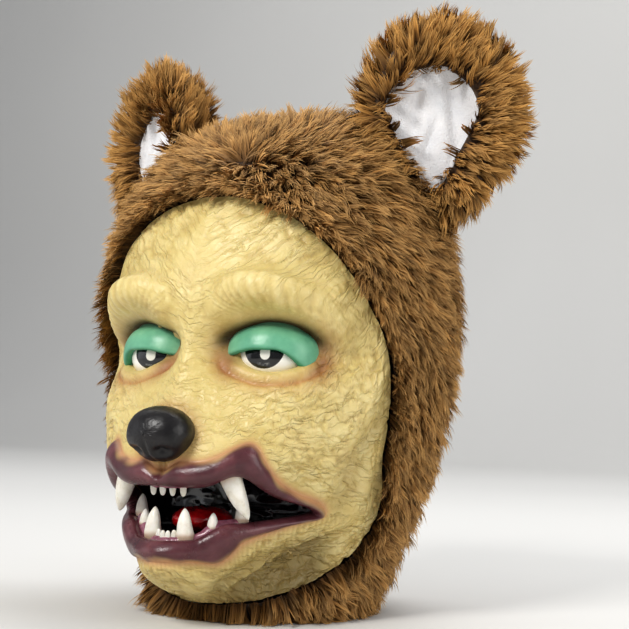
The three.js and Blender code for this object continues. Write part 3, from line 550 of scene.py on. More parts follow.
def fleece_material():
    s = Shader("white_fleece", Roughness=0.95)
    s.set("Base Color", s.ramp(s.noise(60, 4), [(0.3, (222, 224, 228)), (0.7, (244, 244, 246))]))
    s.set("Sheen Weight", 0.5)
    s.set("Sheen Roughness", 0.6)
    s.bump(s.math("ADD", s.cells(700), s.noise(800, 4)), 0.0009, 0.5)
    return s.material


LATEX_SKIN = latex_material()
LATEX_INSIDE = inside_material()
LID_GREEN = lid_material()
EYE_GLOSS = eye_material()
NOSE_BLACK = nose_material()
TOOTH_ENAMEL = tooth_material()
GUM_PINK = gum_material()
TONGUE_RED = tongue_material()
LINER_BLACK = liner_material()
HOOD_PILE = fur_material("brown_pile", (84, 56, 26), (160, 116, 62), (206, 164, 104), (146, 112, 70))
EAR_PILE = fur_material("ear_pile", (90, 60, 28), (166, 120, 60), (212, 166, 100), (152, 114, 64))
BACKING = backing_material()
HEM_CLOTH = hem_material()
WHITE_FLEECE = fleece_material()


# ---- Face ----

FACE_COLUMNS = 560
LIP_ROWS = 26
FACE_ROWS = 146


def eye_share(points, side, size=EYE_SIZE):
    """How far each point lies from the eyeball's centre, where 1 is its surface; and its local place."""
    turn = math.radians(EYE_TURN * side)
    moved = points - EYE_CENTRE * np.array([side, 1, 1])
    x = moved[..., 0] * math.cos(turn) + moved[..., 1] * math.sin(turn)
    y = -moved[..., 0] * math.sin(turn) + moved[..., 1] * math.cos(turn)
    local = np.stack([x, y, moved[..., 2]], -1)
    return np.linalg.norm(local / size, axis=-1), local


def folds(u, v, degrees, length, width, seed, sharp=0.3):
    """Wavering wrinkles that run one way: height from -1 in a groove to about 0.6 on a ridge."""
    turn = math.radians(degrees)
    along = (u * math.cos(turn) + v * math.sin(turn)) / length
    across = (-u * math.sin(turn) + v * math.cos(turn)) / width
    across = across + 0.55 * noise(along * 2.3, across * 0.7, seed + 7)
    field = noise(along, across, seed) + 0.35 * noise(along * 2.1, across * 2.1, seed + 3)
    far = np.abs(field)
    return 0.9 * smooth(0, 0.55, far) - 0.9 * bell(far, sharp * 0.45) - 0.35


def wart(u, v, at, size, height):
    far = np.hypot((u - at[0]) / size, (v - at[1]) / (size * 0.85))
    return height * np.maximum(0, 1 - far ** 2) ** 0.7 - 0.25 * height * bell(far - 1.25, 0.25)


# Warts on each jowl: place (out from the middle, height above ground), size and height.
WARTS = [
    ((62, 37), 3.6, 3.2), ((74, 39), 2.8, 3.0), ((94, 40), 3.2, 3.0), ((79, 47), 2.8, 2.2),
    ((60, 54), 3.0, 2.4), ((88, 58), 2.4, 1.6), ((52, 24), 3.0, 2.4), ((70, 28), 2.4, 2.0),
    ((84, 31), 2.2, 1.8), ((102, 46), 2.2, 1.8), ((66, 58), 2.0, 1.4), ((96, 52), 2.0, 1.4),
]


def seam_distance(u, v, points):
    """Distance to a line through points, and how far along it the nearest place is, from 0 to 1."""
    best = np.full(u.shape, 1e9)
    share = np.zeros(u.shape)
    count = len(points) - 1
    for i in range(count):
        a, b = np.array(points[i], float), np.array(points[i + 1], float)
        way = b - a
        s = np.clip(((u - a[0]) * way[0] + (v - a[1]) * way[1]) / (way @ way), 0, 1)
        d = np.hypot(u - a[0] - s * way[0], v - a[1] - s * way[1])
        nearer = d < best
        best = np.where(nearer, d, best)
        share = np.where(nearer, (i + s) / count, share)
    return best, share


JOWL_FOLD = [(122, 150), (120, 138), (110, 111), (100, 88), (94, 78)]
CHIN_CREASE = [(18, 14), (30, 26), (48, 38), (66, 47), (84, 54)]


def lip_height(distance, width):
    """The rolled lip: it curls in behind the mouth's edge and swells in front of it."""
    share = np.clip((distance + 1) / (width + 1), 0, 1)
    return (3.6 + 0.14 * width) * np.sin(np.pi * share ** 0.9) ** 0.72


BROW_ARCH = [(19, 203), (24, 209), (34, 213), (47, 212), (60, 207), (71, 199), (79, 188)]


def face_relief(psi, angle, z, distance, length):
    """Height of the sculpted skin over the plain face, in millimetres, and the paint masks."""
    plain = face_point(angle, z, np.zeros_like(angle))
    side = np.where(angle >= 0, 1.0, -1.0)
    u = np.abs(angle) * MM_PER_DEGREE
    s = u + np.where(side > 0, 0, 400)
    left_share, left_local = eye_share(plain, 1)
    right_share, right_local = eye_share(plain, -1)
    share = np.where(side > 0, left_share, right_share)
    local_x = np.where(side > 0, left_local[..., 0], -right_local[..., 0])
    local_z = np.where(side > 0, left_local[..., 2], right_local[..., 2])
    from_eye = (share - 1) * 21

    brow = bell(u - 50, 34) * bell(z - 217, 12)
    forehead = smooth(224, 236, z)
    glabella = bell(u, 20) * bell(z - 208, 26)
    bridge = bell(u - 12, 16) * smooth(128, 140, z) * (1 - smooth(186, 200, z))
    cheek = smooth(26, 52, u) * smooth(70, 92, z) * (1 - smooth(176, 204, z)) * (1 - smooth(100, 122, u))
    rim = smooth(98, 116, u) + smooth(0.9, 1.0, distance / length) * 0.4
    rim = np.clip(rim, 0, 1) * (1 - forehead * 0.7)
    chin = (1 - smooth(46, 62, z)) * (1 - smooth(38, 52, u))
    jowl = (1 - smooth(58, 74, z)) * smooth(44, 56, u)
    temple = smooth(70, 86, u) * smooth(176, 200, z) * (1 - 0.6 * forehead)

    arch, arch_share = seam_distance(u, z, BROW_ARCH)
    brow = bell(arch, 11)

    relief = np.zeros_like(u)
    wave = folds(s, z, 38, 17, 5.2, 11, 0.3)
    relief += forehead * smooth(10, 26, u) * 0.85 * wave
    relief += smooth(232, 246, z) * (1 - smooth(14, 30, u)) * 1.1 * folds(s, z, 80, 12, 7, 13, 0.4)
    ribs = np.sin(arch_share * 92 + (z - 212) * 0.22 + 1.9 * noise(s / 8, z / 7, 21) + np.where(side > 0, 0, 2))
    relief += brow * 0.5 * (ribs - 0.35 * np.abs(ribs)) + brow * 0.35 * folds(s, z, 70, 13, 4.4, 23)
    relief += glabella * 0.7 * folds(s, z, 68, 15, 3.2, 31, 0.35)
    relief += bridge * 0.45 * folds(s, z, -58, 12, 3.0, 37, 0.3)
    relief += cheek * 0.6 * folds(s, z, -12, 8.5, 3.8, 41, 0.3)
    relief += cheek * 0.45 * folds(s, z, 20, 15, 7, 43, 0.3)
    relief += rim * 0.7 * folds(s, z, 78, 12, 4.2, 47, 0.3)
    relief += temple * 0.5 * folds(s, z, -30, 10, 4, 53, 0.3)
    relief += chin * 0.75 * folds(s, z, 6, 8, 3.4, 59, 0.3)
    relief += jowl * 0.85 * folds(s, z, 24, 11, 3.6, 61, 0.3)
    relief += 0.35 * noise(s / 11, z / 11, 71) + 0.12 * noise(s / 2.4, z / 2.4, 73)

    calm = smooth(2, 12, from_eye) * (1 - 0.85 * bell(u - 42, 30) * bell(z - 190, 10))
    calm = calm * (1 - 0.7 * bell(u, 26) * bell(z - 112, 16))
    width = lip_width(psi)
    beyond = distance - width
    calm = calm * (0.1 + 0.9 * smooth(0, 8, beyond))
    calm = calm * (1 - 0.6 * bell(u - 22, 26) * bell(z - 158, 40)) * (1 - 0.55 * bell(u, 30) * smooth(212, 235, z))
    fine = 0.9 * relief * calm

    grooved = smooth(-3, 2, beyond) * (1 - smooth(4, 20, beyond))
    below_mouth = (z < 72).astype(float)
    psi_wave = np.sin(angle * 2.1 + 1.5 * noise(s / 12, z / 12, 83))
    fine += grooved * below_mouth * 0.7 * -np.abs(psi_wave) ** 3

    broad = 6.5 * bell(arch, 10.5) - 1.5 * bell(arch - 15, 5) * smooth(210, 220, z)
    broad += 3.0 * smooth(24, 40, z) * bell(z - 36, 13) * bell(u, 30)
    broad += -7.0 * bell(u - 84, 20) * bell(z - 177, 15) - 3.0 * bell(u - 14, 12) * bell(z - 178, 16)
    fold, _ = seam_distance(u, z, JOWL_FOLD)
    broad += -2.6 * bell(fold, 6) + 1.8 * bell(fold - 11, 7)
    crease, along = seam_distance(u, z, CHIN_CREASE)
    ridge_side = z - (14 + (u - 18) * 0.62)
    below = (1 - smooth(-6, 2, ridge_side)) * smooth(18, 32, u) * (1 - smooth(84, 104, u))
    broad += -3.2 * bell(crease, 4.5) * (1 - smooth(0.7, 1.0, along)) - 9.0 * below * smooth(6, 20, z)
    broad += np.where(ridge_side > 0, 3.4, 0.0) * bell(crease - 10, 8) * (1 - smooth(0.5, 0.9, along))
    for at, size, height in WARTS:
        broad += wart(u + np.where(side > 0, 0, 3.0), z, at, size, height)
    bag = bell(from_eye - 6, 4.2) * (1 - smooth(-8, 4, local_z))
    bag_crease = bell(from_eye - 12.5, 2.0) * (1 - smooth(-10, 4, local_z))
    broad += 2.6 * bag - 1.4 * bag_crease
    broad += -5.5 * bell(from_eye - 6, 6.5) * smooth(2, 12, local_z)
    broad += -3.2 * bell(from_eye + 2, 4.5) * (1 - smooth(-4, 6, local_z))
    broad += 1.1 * bell(from_eye - 2.4, 1.5) * (1 - smooth(0, 6, local_z))
    broad = broad * smooth(0, 14, length - distance)
    philtrum = bell(u, 2.6) * smooth(90, 96, z) * (1 - smooth(112, 124, z))
    broad += -3.4 * philtrum

    # Painted shade in the wrinkles' grooves, along the chin crease and along the jowl fold.
    deep = np.clip(-fine * 1.15, 0, 1) * 0.8 + 0.5 * bell(crease, 3) + 0.3 * bell(fold, 4)
    # Painted highlight on the wrinkles' ridges.
    high = np.clip(fine * 1.4, 0, 1)
    shade = 0.85 * below + 0.45 * bell(crease, 6) + 0.2 * bell(fold, 7)
    over_lid = bell(from_eye - 8.5, 6.5) * smooth(2, 12, local_z)
    inner = bell(local_x + 27, 8) * bell(local_z + 1, 13)
    outer = bell(local_x - 33, 8) * bell(local_z + 2, 11)
    brown = np.clip(0.95 * over_lid + 0.4 * inner + 0.35 * outer, 0, 0.94)
    blush = 0.42 * bag_crease + 0.34 * bell(from_eye - 13, 8) + 0.35 * inner + 0.45 * outer
    near_nose = np.linalg.norm((plain - NOSE_CENTRE) / NOSE_SIZE, axis=-1)
    blush += 0.4 * bell(near_nose - 1.05, 0.28) + 0.22 * bell(beyond - 1, 4)
    pink = 0.35 * bell(local_x + 29, 5) * bell(local_z + 4, 8) + 0.6 * bell(beyond + 0.5, 2.6)
    edge_noise = 1.6 * noise(s / 7, z / 7, 91)
    lip = 1 - smooth(-4.0, 1.0, beyond + edge_noise)
    masks = {
        "PaintedGrooveShade": np.clip(deep, 0, 1), "High": high, "Shade": np.clip(shade, 0, 0.8),
        "Blush": np.clip(blush, 0, 0.85), "Pink": np.clip(pink, 0, 0.8), "Brown": brown, "Lip": lip,
        "Calm": np.clip(calm * (1 - 0.6 * brow), 0, 1), "Upper": smooth(190, 215, z),
    }
    return fine + broad, masks


def build_face():
    psi = 2 * np.pi * np.arange(FACE_COLUMNS) / FACE_COLUMNS
    tuck = np.linspace(-1, 0, 8)[:-1]
    width = lip_width(psi)[None, :]
    lip_share = np.linspace(0, 1, LIP_ROWS)[:, None]
    full = near_mouth(psi, np.zeros_like(psi))[2]
    outward = np.linspace(0, 1, FACE_ROWS)[1:]
    distance = np.concatenate([
        4.0 * (tuck ** 2)[:, None] - 1.0 + 0 * width,
        -1.0 + (width + 1.0) * lip_share ** 1.15,
        width + (full[None, :] - width) * outward[:, None],
    ])
    depth = np.concatenate([6.5 * tuck, np.zeros(LIP_ROWS + FACE_ROWS - 1)])[:, None]
    grid_psi = np.repeat(psi[None, :], distance.shape[0], 0)
    angle, z, length = near_mouth(grid_psi, distance)
    height, masks = face_relief(grid_psi, angle, z, distance, length)
    tucked = depth < 0
    rolled = lip_height(distance, lip_width(grid_psi)) * (1 + 0.07 * noise(grid_psi * 5, distance / 9, 5))
    height = np.where(tucked, depth, height + rolled)
    masks["Lip"] = np.where(tucked, 1.0, masks["Lip"])
    points = face_point(angle, z, height)
    out = np.abs(angle) * MM_PER_DEGREE
    slope = 0.12 + 0.65 * smooth(110, 262, z)
    skin_map = np.stack([out, z - slope * out + 8 * np.tanh(angle / 14)], -1) / 10
    obj = grid_piece("face", points, wrapped=True, uv=("SkinMap", skin_map),
                     masks={k: v.ravel() for k, v in masks.items()})
    finish_piece(obj, LATEX_SKIN, nodes=["face_shell"])
    rows = np.arange(0, points.shape[0], 6)
    rows = np.append(rows[rows > LIP_ROWS], points.shape[0] - 1)
    columns = np.arange(0, FACE_COLUMNS, 5)
    angle, z = angle[np.ix_(rows, columns)], z[np.ix_(rows, columns)]
    pressed = np.minimum(0, height[np.ix_(rows, columns)] + 1.0)
    back = face_point(angle, z, -3.0 + pressed + 0.4 * noise(angle / 6, z / 10, 9))
    rim = points[-1:, columns]
    back = np.concatenate([back, rim])
    obj = grid_piece("face_inside", back, wrapped=True, flip=True)
    finish_piece(obj, LATEX_INSIDE)


# ---- Eyes and lids ----

def from_eye_frame(local, side):
    turn = math.radians(EYE_TURN * side)
    x = local[..., 0] * math.cos(turn) - local[..., 1] * math.sin(turn)
    y = local[..., 0] * math.sin(turn) + local[..., 1] * math.cos(turn)
    return np.stack([x, y, local[..., 2]], -1) + EYE_CENTRE * np.array([side, 1, 1])


IRIS_RADIUS = 13.4
IRIS_PLACE = {1: (-3.9, 5.6), -1: (10.5, 4.6)}


def build_eye(side, label):
    rows, columns = 56, 72
    tilt = np.linspace(0, np.pi * 0.56, rows)[:, None]
    turn = np.linspace(0, 2 * np.pi, columns + 1)[None, :]
    local = np.stack([
        np.sin(tilt) * np.cos(turn), -np.cos(tilt) + 0 * turn, np.sin(tilt) * np.sin(turn),
    ], -1) * EYE_SIZE
    at = IRIS_PLACE[side]
    uv = np.stack([local[..., 0] - at[0], local[..., 2] - at[1]], -1) / IRIS_RADIUS
    obj = grid_piece(f"eyeball_{label}", from_eye_frame(local, side), uv=("EyeMap", uv), flip=True)
    finish_piece(obj, EYE_GLOSS, nodes=[f"eye_{label}"])


def build_lid(side, label):
    """A thick rolled lid: it starts against the eyeball, turns round its lower edge and runs up."""
    columns, edge_rows, top_rows = 120, 14, 50
    across = np.linspace(-1, 1, columns)
    outward = across * side
    azimuth = across * math.radians(94)
    droop = 6.8 - 14.5 * smooth(0.05, 0.7, outward) - 4.5 * smooth(0.2, 0.8, -outward)
    roll = np.linspace(-0.75, 0.5, edge_rows) * np.pi
    top = np.linspace(0, 1, top_rows)[1:]
    thick = 3.4 - 1.4 * smooth(0.35, 0.9, np.abs(across))

    def surface(z_value, grow):
        wide, deep, tall = LID_SIZE[0] + grow, LID_SIZE[1] + grow, LID_SIZE[2] + grow
        level = np.clip(z_value / tall, -0.98, 0.98)
        ring = np.sqrt(1 - level ** 2)
        return np.stack([wide * ring * np.sin(azimuth), -deep * ring * np.cos(azimuth), z_value], -1)

    grid, rim, crease = [], [], []
    for angle in roll:
        low = droop + thick * (1 - math.cos(angle)) * 0.5 - thick * 0.5
        grow = 0.9 * thick * (math.sin(angle) - 1)
        grid.append(surface(low - thick * 0.3 * math.cos(angle), grow))
        rim.append(np.full(columns, 1 - smooth(0.1, 0.5, angle / np.pi)))
        crease.append(np.zeros(columns))
    start = grid[-1][:, 2]
    for share in top:
        z_value = start + (26.0 - start) * share
        fold = bell(share - 0.74, 0.08)
        grow = -0.9 * fold + 0.5 * bell(share - 0.4, 0.25)
        grid.append(surface(z_value, grow))
        rim.append(np.full(columns, 0.0))
        crease.append(np.full(columns, smooth(0.62, 0.95, share)) + 0.55 * smooth(0.72, 1, np.abs(across)))
    grid = np.array(grid)
    masks = {"Rim": np.array(rim).ravel(), "Crease": np.clip(np.array(crease), 0, 0.95).ravel()}
    obj = grid_piece(f"lid_{label}", from_eye_frame(grid, side), flip=True, masks=masks)
    finish_piece(obj, LID_GREEN, nodes=[f"eyelid_{label}"])


# ---- Nose ----

def build_nose():
    rows, columns = 90, 140
    tilt = np.linspace(0, np.pi, rows)[:, None]
    turn = np.linspace(0, 2 * np.pi, columns + 1)[None, :-1]
    way = np.stack([np.sin(tilt) * np.cos(turn), -np.cos(tilt) + 0 * turn, np.sin(tilt) * np.sin(turn)], -1)
    reach = np.ones(way.shape[:2])
    x, y, z = way[..., 0], way[..., 1], way[..., 2]
    for side in (1, -1):
        to_hole = np.linalg.norm((way - unit(np.array([0.50 * side, -0.62, -0.62]))) / [0.26, 0.3, 0.2], axis=-1)
        reach -= 0.26 * np.exp(-to_hole ** 2.4)
        wing = np.linalg.norm((way - unit(np.array([0.72 * side, -0.55, -0.35]))) / [0.32, 0.4, 0.34], axis=-1)
        reach += 0.05 * np.exp(-wing ** 2)
    reach -= 0.06 * bell(x, 0.08) * (1 - smooth(-0.5, 0.0, z)) * (y < 0.2)
    reach += 0.05 * smooth(0.2, 0.9, z)
    reach += 0.006 * noise(np.degrees(turn) / 7 + 0 * tilt, np.degrees(tilt) / 7 + 0 * turn, 3)
    squarer = way * np.array([1, 1, 0.92])
    squarer[..., 0] *= 1 + 0.13 * smooth(-0.9, 0.5, z) - 0.06
    points = squarer * reach[..., None] * NOSE_SIZE + NOSE_CENTRE - np.array([0, 0, 0.8])
    obj = grid_piece("nose_ball", points, wrapped=True)
    finish_piece(obj, NOSE_BLACK, nodes=["nose"])


# ---- Teeth, gums, tongue and liner ----

TEETH = [
    ("upper_canine", True, 24, 6.8, 33, 0.42, 0.2, 8),
    ("upper_incisor_inner", True, 2.3, 2.2, 9, 0, 0, 8),
    ("upper_incisor_outer", True, 7, 2.2, 9.5, 0, 0, 8),
    ("lower_canine", False, 10.5, 5.5, 20, -0.06, 0, 8),
    ("lower_incisor_inner", False, 1.8, 1.9, 8, 0, 0, 8),
    ("lower_incisor_outer", False, 5.3, 1.9, 8, 0, 0, 8),
    ("lower_cone_front", False, 20, 3.8, 11, 0, 0, 8.5),
    ("lower_cone_rear", False, 28.5, 4.3, 14.5, 0, 0, 8.5),
]
TOOTH_SINK = 2.0
GUM_HALF_ANGLE = 31


def behind_lip(angle, upper, distance, depth):
    psi = np.arccos(angle / MOUTH_HALF_ANGLE) * (1 if upper else -1)
    place_angle, z, _ = near_mouth(psi, distance)
    return face_point(np.asarray(place_angle), np.asarray(z), np.asarray(-float(depth)))


def build_tooth(tooth, side, label):
    name, upper, angle, radius, length, lean, back, depth = tooth
    base = behind_lip(np.array([float(angle)]), upper, TOOTH_SINK, depth)[0]
    way = unit(np.array([lean, back, -1.0 if upper else 1.0]))
    across = unit(np.cross(way, [0, 1, 0]))
    ahead = np.cross(across, way)
    rows, columns = 30, 28
    along = np.linspace(0, 1, rows)[:, None]
    turn = np.linspace(0, 2 * np.pi, columns + 1)[None, :-1]
    incisor = "incisor" in name
    power, blunt = (4.0, 0.45) if incisor else (2.2, 0.66)
    swell = np.maximum(1 - along ** power, 0) ** blunt
    swell = swell * (1 + 0.07 * bell(along - 0.16, 0.1)) * (1 + 0.03 * np.sin(3 * turn + 6 * along))
    wide = 1.0 if not incisor else 1.05
    bend = 0.0 if incisor else (0.07 if "canine" in name else 0.05) * length
    drift = bend * (along ** 2 - along) * 1.6
    x = radius * swell * np.cos(turn) * wide
    y = radius * swell * np.sin(turn) * (0.8 if incisor else 0.95)
    points = base + (x[..., None] * across) + ((y + drift)[..., None] * ahead)
    points = points + (length * along + 0 * turn)[..., None] * way
    if side < 0:
        points = points * np.array([-1, 1, 1])
    root = (1 - smooth(0.1, 0.3, along)) + 0 * turn
    obj = grid_piece(f"tooth_{name}_{label}", points, wrapped=True, flip=side < 0, masks={"Root": root.ravel()})
    finish_piece(obj, TOOTH_ENAMEL, nodes=[f"{name}_{label}"])


def build_gum(upper):
    name = "gum_upper" if upper else "gum_lower"
    steps, columns = 150, 36
    angle = np.linspace(-GUM_HALF_ANGLE, GUM_HALF_ANGLE, steps)[:, None]
    turn = np.linspace(0, 2 * np.pi, columns + 1)[None, :-1]
    ends = np.sqrt(np.maximum(1 - (np.abs(angle) / GUM_HALF_ANGLE) ** 8, 0.02))
    swell = np.zeros_like(angle)
    for tooth in TEETH:
        if tooth[1] == upper:
            reach = tooth[3] / 1.7 + 1.2
            swell = np.maximum(swell, bell((np.abs(angle) - tooth[2]) / reach, 1.0))
    bumpy = 1 + 0.16 * swell + 0.06 * noise(angle / 2 + 0 * turn, 0 * angle + turn * 2, 17)
    distance = 4.5 + 6.0 * np.cos(turn) * ends * bumpy
    depth = 8.6 + 4.2 * np.sin(turn) * ends * bumpy
    psi = np.arccos(angle / MOUTH_HALF_ANGLE) * (1 if upper else -1) + 0 * turn
    place_angle, z, _ = near_mouth(psi, distance)
    points = face_point(place_angle, z, -depth)
    obj = grid_piece(f"{name}_flesh", points, wrapped=True, flip=not upper)
    finish_piece(obj, GUM_PINK, nodes=[name])


def build_tongue():
    rows, columns = 70, 110
    tilt = np.linspace(0, np.pi, rows)[:, None]
    turn = np.linspace(0, 2 * np.pi, columns + 1)[None, :-1]
    way = np.stack([np.sin(tilt) * np.cos(turn), -np.cos(tilt) + 0 * turn, np.sin(tilt) * np.sin(turn)], -1)
    points = way * np.array([18.0, 24.0, 8.5])
    upper = way[..., 2] > 0
    points[..., 2] += np.where(upper, -3.0 * bell(points[..., 0], 3.0) * way[..., 2], 0)
    points[..., 2] += 0.7 * noise(points[..., 0] / 3.4, points[..., 1] / 3.4, 5) * np.abs(way[..., 2])
    points[..., 2] += 1.5 * smooth(4, 18, -points[..., 1]) * way[..., 2]
    points = points + np.array([0, -85 + SHIFT_Y, 66.0])
    obj = grid_piece("tongue_flesh", points, wrapped=True)
    finish_piece(obj, TONGUE_RED, nodes=["tongue"])


def build_liner():
    columns, rows = 260, 90
    psi = (2 * np.pi * np.arange(columns) / columns)[None, :]
    back = np.linspace(0, 1, rows)[:, None]
    angle, z, _ = near_mouth(psi + 0 * back, np.full((rows, columns), 14.0))
    rim = face_point(angle, z, np.full(angle.shape, -3.9))
    shrink = np.cos(back * 0.36 * np.pi)
    squeeze = np.sin(back * np.pi / 2) ** 1.2
    end_y = -46 + SHIFT_Y
    points = np.stack([
        rim[..., 0] * (1 - 0.25 * back) * shrink,
        rim[..., 1] + (end_y - rim[..., 1]) * squeeze,
        74 + (rim[..., 2] - 74) * shrink,
    ], -1)
    closing = 1 - smooth(0.86, 1.0, back)
    centre = np.array([0, end_y, 74.0])
    points = centre + (points - centre) * np.stack([closing, 1 + 0 * closing, closing], -1)
    crumple = noise(points[..., 0] / 13, points[..., 1] / 12 + points[..., 2] / 8, 5)
    crumple += 0.35 * noise(points[..., 0] / 6, points[..., 1] / 6 + points[..., 2] / 4, 6)
    ridges = 1 - smooth(0, 0.5, np.abs(noise(points[..., 0] / 20 + 3, points[..., 2] / 8 + points[..., 1] / 20, 8)))
    inward = unit(centre + np.array([0, -30, 0]) - points)
    lift = (1.6 * crumple + 2.2 * ridges) * smooth(0, 0.12, back) * closing
    points = points + inward * (np.maximum(lift, -0.6))[..., None]
    obj = grid_piece("mouth_pouch", points, wrapped=True, flip=True)
    finish_piece(obj, LINER_BLACK, nodes=["mouth_liner"])


# ---- Hood cloth ----

def outline_angle(z):
    rise = z - OUTLINE_MID_Z
    reach = np.where(rise > 0, OUTLINE_RISE, OUTLINE_DROP) + EDGE_GAP
    power = np.where(rise > 0, 2, OUTLINE_POWER)
    left = 1 - (np.abs(rise) / reach) ** power
    return np.where(left > 0, (OUTLINE_HALF_ANGLE + EDGE_GAP) * np.maximum(left, 0) ** (1 / power), -1)


def gusset_angle(t):
    return np.degrees(np.arcsin(np.minimum(1, (GUSSET_HALF + 0.5) / section(t)[2])))


def side_grid(side):
    """Angles and levels over one side panel, from the face's edge to the gusset at the back."""
    levels = np.linspace(0, 1.934, 110)[:, None]
    edge = np.maximum(outline_angle(section(levels)[0]), 0)
    floor = np.where(levels > 1, gusset_angle(levels), CHIN_PANEL_ANGLE + 1.2)
    first, last = np.maximum(edge, floor), 180 - gusset_angle(levels)
    share = np.linspace(0, 1, 80)[None, :]
    return (first + (last - first) * share) * side, levels + 0 * share


def ridge_level(x):
    share = np.abs(x) / SIDE_HALF
    return np.minimum(1.985, 1 + np.arccos(share ** (1 / SIDE_ROUNDNESS)) / (np.pi / 2))


def gusset_grid():
    hairline = level_of(np.array(OUTLINE_MID_Z + OUTLINE_RISE + HAIRLINE_GAP))
    x = np.linspace(GUSSET_HALF, -GUSSET_HALF, 28)[None, :]
    angles, levels = [], []
    for share, behind in [(s, False) for s in np.linspace(0, 1, 40)] + [(s, True) for s in np.linspace(1, 0, 90)[1:]]:
        t = share * ridge_level(x) + (1 - share) * (0.0 if behind else hairline)
        angle = np.degrees(np.arcsin(np.clip(x / section(t)[2], -1, 1)))
        angles.append(180 - angle if behind else angle)
        levels.append(t)
    return np.concatenate(angles), np.concatenate(levels)


def chin_grid():
    angle = np.linspace(-CHIN_PANEL_ANGLE, CHIN_PANEL_ANGLE, 60)[None, :]
    share = 1 - (np.abs(angle) / (OUTLINE_HALF_ANGLE + EDGE_GAP)) ** OUTLINE_POWER
    top = OUTLINE_MID_Z - (OUTLINE_DROP + EDGE_GAP) * share ** (1 / OUTLINE_POWER)
    rise = np.linspace(0, 1, 14)[:, None]
    return angle + 0 * rise, level_of(top * rise)


def cloth_piece(name, angles, levels, flip, nodes):
    points = offset_point(np.radians(angles), levels, np.full(angles.shape, 0.6))
    points = points + skin_normal(np.radians(angles), levels) * (0.5 * noise(angles / 5, levels * 30, 3))[..., None]
    points[..., 2] = np.maximum(points[..., 2], 0.2)
    obj = grid_piece(name, points, flip=flip)
    finish_piece(obj, BACKING, nodes=nodes)
    return obj


# ---- Fur ----

WHORL = np.array([9.0, -52.0, 303.0])


def hood_flow(point, normal):
    """Which way the pile lies on the hood: out from the whorl on top, down and back on the sides."""
    radial = unit(point - WHORL)
    side = np.sign(point[..., 0])[..., None]
    down = np.concatenate([0.25 * side, np.full_like(side, 0.45), np.full_like(side, -1.0)], -1)
    top = smooth(175, 275, point[..., 2])[..., None]
    flow = unit(radial) * top + unit(down) * (1 - top)
    flow = flow - (flow * normal).sum(-1, keepdims=True) * normal
    return unit(flow)


def scatter(points_grid, params, spacing, rng):
    """Random places spread evenly over a grid of points, as grid parameters."""
    a, b = points_grid[1:, :-1] - points_grid[:-1, :-1], points_grid[:-1, 1:] - points_grid[:-1, :-1]
    area = np.linalg.norm(np.cross(a, b), axis=-1)
    count = area / (spacing * spacing)
    whole = np.floor(count + rng.random(count.shape)).astype(int)
    i, j = np.nonzero(whole)
    times = whole[i, j]
    i, j = np.repeat(i, times), np.repeat(j, times)
    s, r = rng.random(len(i)), rng.random(len(i))
    picked = []
    for values in params:
        picked.append((values[i, j] * (1 - s) * (1 - r) + values[i + 1, j] * s * (1 - r)
                       + values[i, j + 1] * (1 - s) * r + values[i + 1, j + 1] * s * r))
    return picked


STRAND_STEPS = np.array([0.0, 0.4, 0.75, 1.0])
STRAND_WIDTHS = np.array([1.0, 0.9, 0.6, 0.0])


def strand_mesh(name, root, normal, flow, length, lift, width, tone, rng, gather, low_z=0.6):
    """Flat tapering strands. gather is where each strand's tip is drawn to, and how strongly."""
    count = len(root)
    tip = root + length[:, None] * (unit(flow * (1 - lift)[:, None] + normal * lift[:, None]))
    target, pull = gather
    tip = tip + (target - tip) * pull[:, None]
    rise = 0.34 * length[:, None] * normal
    s = STRAND_STEPS[None, :, None]
    middle = root + 0.35 * (tip - root) + rise
    line = root[:, None] * (1 - s) ** 2 + 2 * s * (1 - s) * middle[:, None] + s ** 2 * tip[:, None]
    line[..., 2] = np.maximum(line[..., 2], low_z)
    tangent = unit(line[:, -1] - line[:, 0])
    across = unit(np.cross(tangent, normal))
    roll = rng.normal(0, 0.5, count)
    facing = unit(np.cross(across, tangent))
    wide = across * np.cos(roll)[:, None] + facing * np.sin(roll)[:, None]
    half = 0.5 * width[:, None, None] * STRAND_WIDTHS[None, :, None] * wide[:, None]
    steps = len(STRAND_STEPS)
    left, right = line - half, line + half
    points = np.concatenate([left[:, :-1], right[:, :-1], line[:, -1:]], 1)
    per = 2 * (steps - 1) + 1
    quads = []
    for k in range(steps - 2):
        quads.append((k, steps - 1 + k, steps + k, k + 1))
    tri = (steps - 2, 2 * steps - 3, per - 1)
    triangles = [tri]
    for a, b, c, d in quads:
        triangles += [(a, b, c), (a, c, d)]
    faces = (np.arange(count)[:, None, None] * per + np.array(triangles)[None]).reshape(-1, 3)
    along = np.concatenate([STRAND_STEPS[:-1], STRAND_STEPS[:-1], [1.0]])
    lean = np.concatenate([np.full(steps - 1, -0.02), np.full(steps - 1, 0.02), [0.0]])
    uv = np.stack([np.clip(tone[:, None] + lean[None], 0.01, 0.99), np.repeat(along[None], count, 0)], -1)
    obj = make_mesh(name, points.reshape(-1, 3), faces, uv=("OFBake", uv.reshape(-1, 2)))
    shade = unit(normal[:, None] * 0.75 + facing[:, None] * 0.5 + wide[:, None] * 0.0)
    shade = np.repeat(shade, per, 1).reshape(-1, 3)
    obj.data.normals_split_custom_set_from_vertices(shade.astype(np.float32))
    return obj


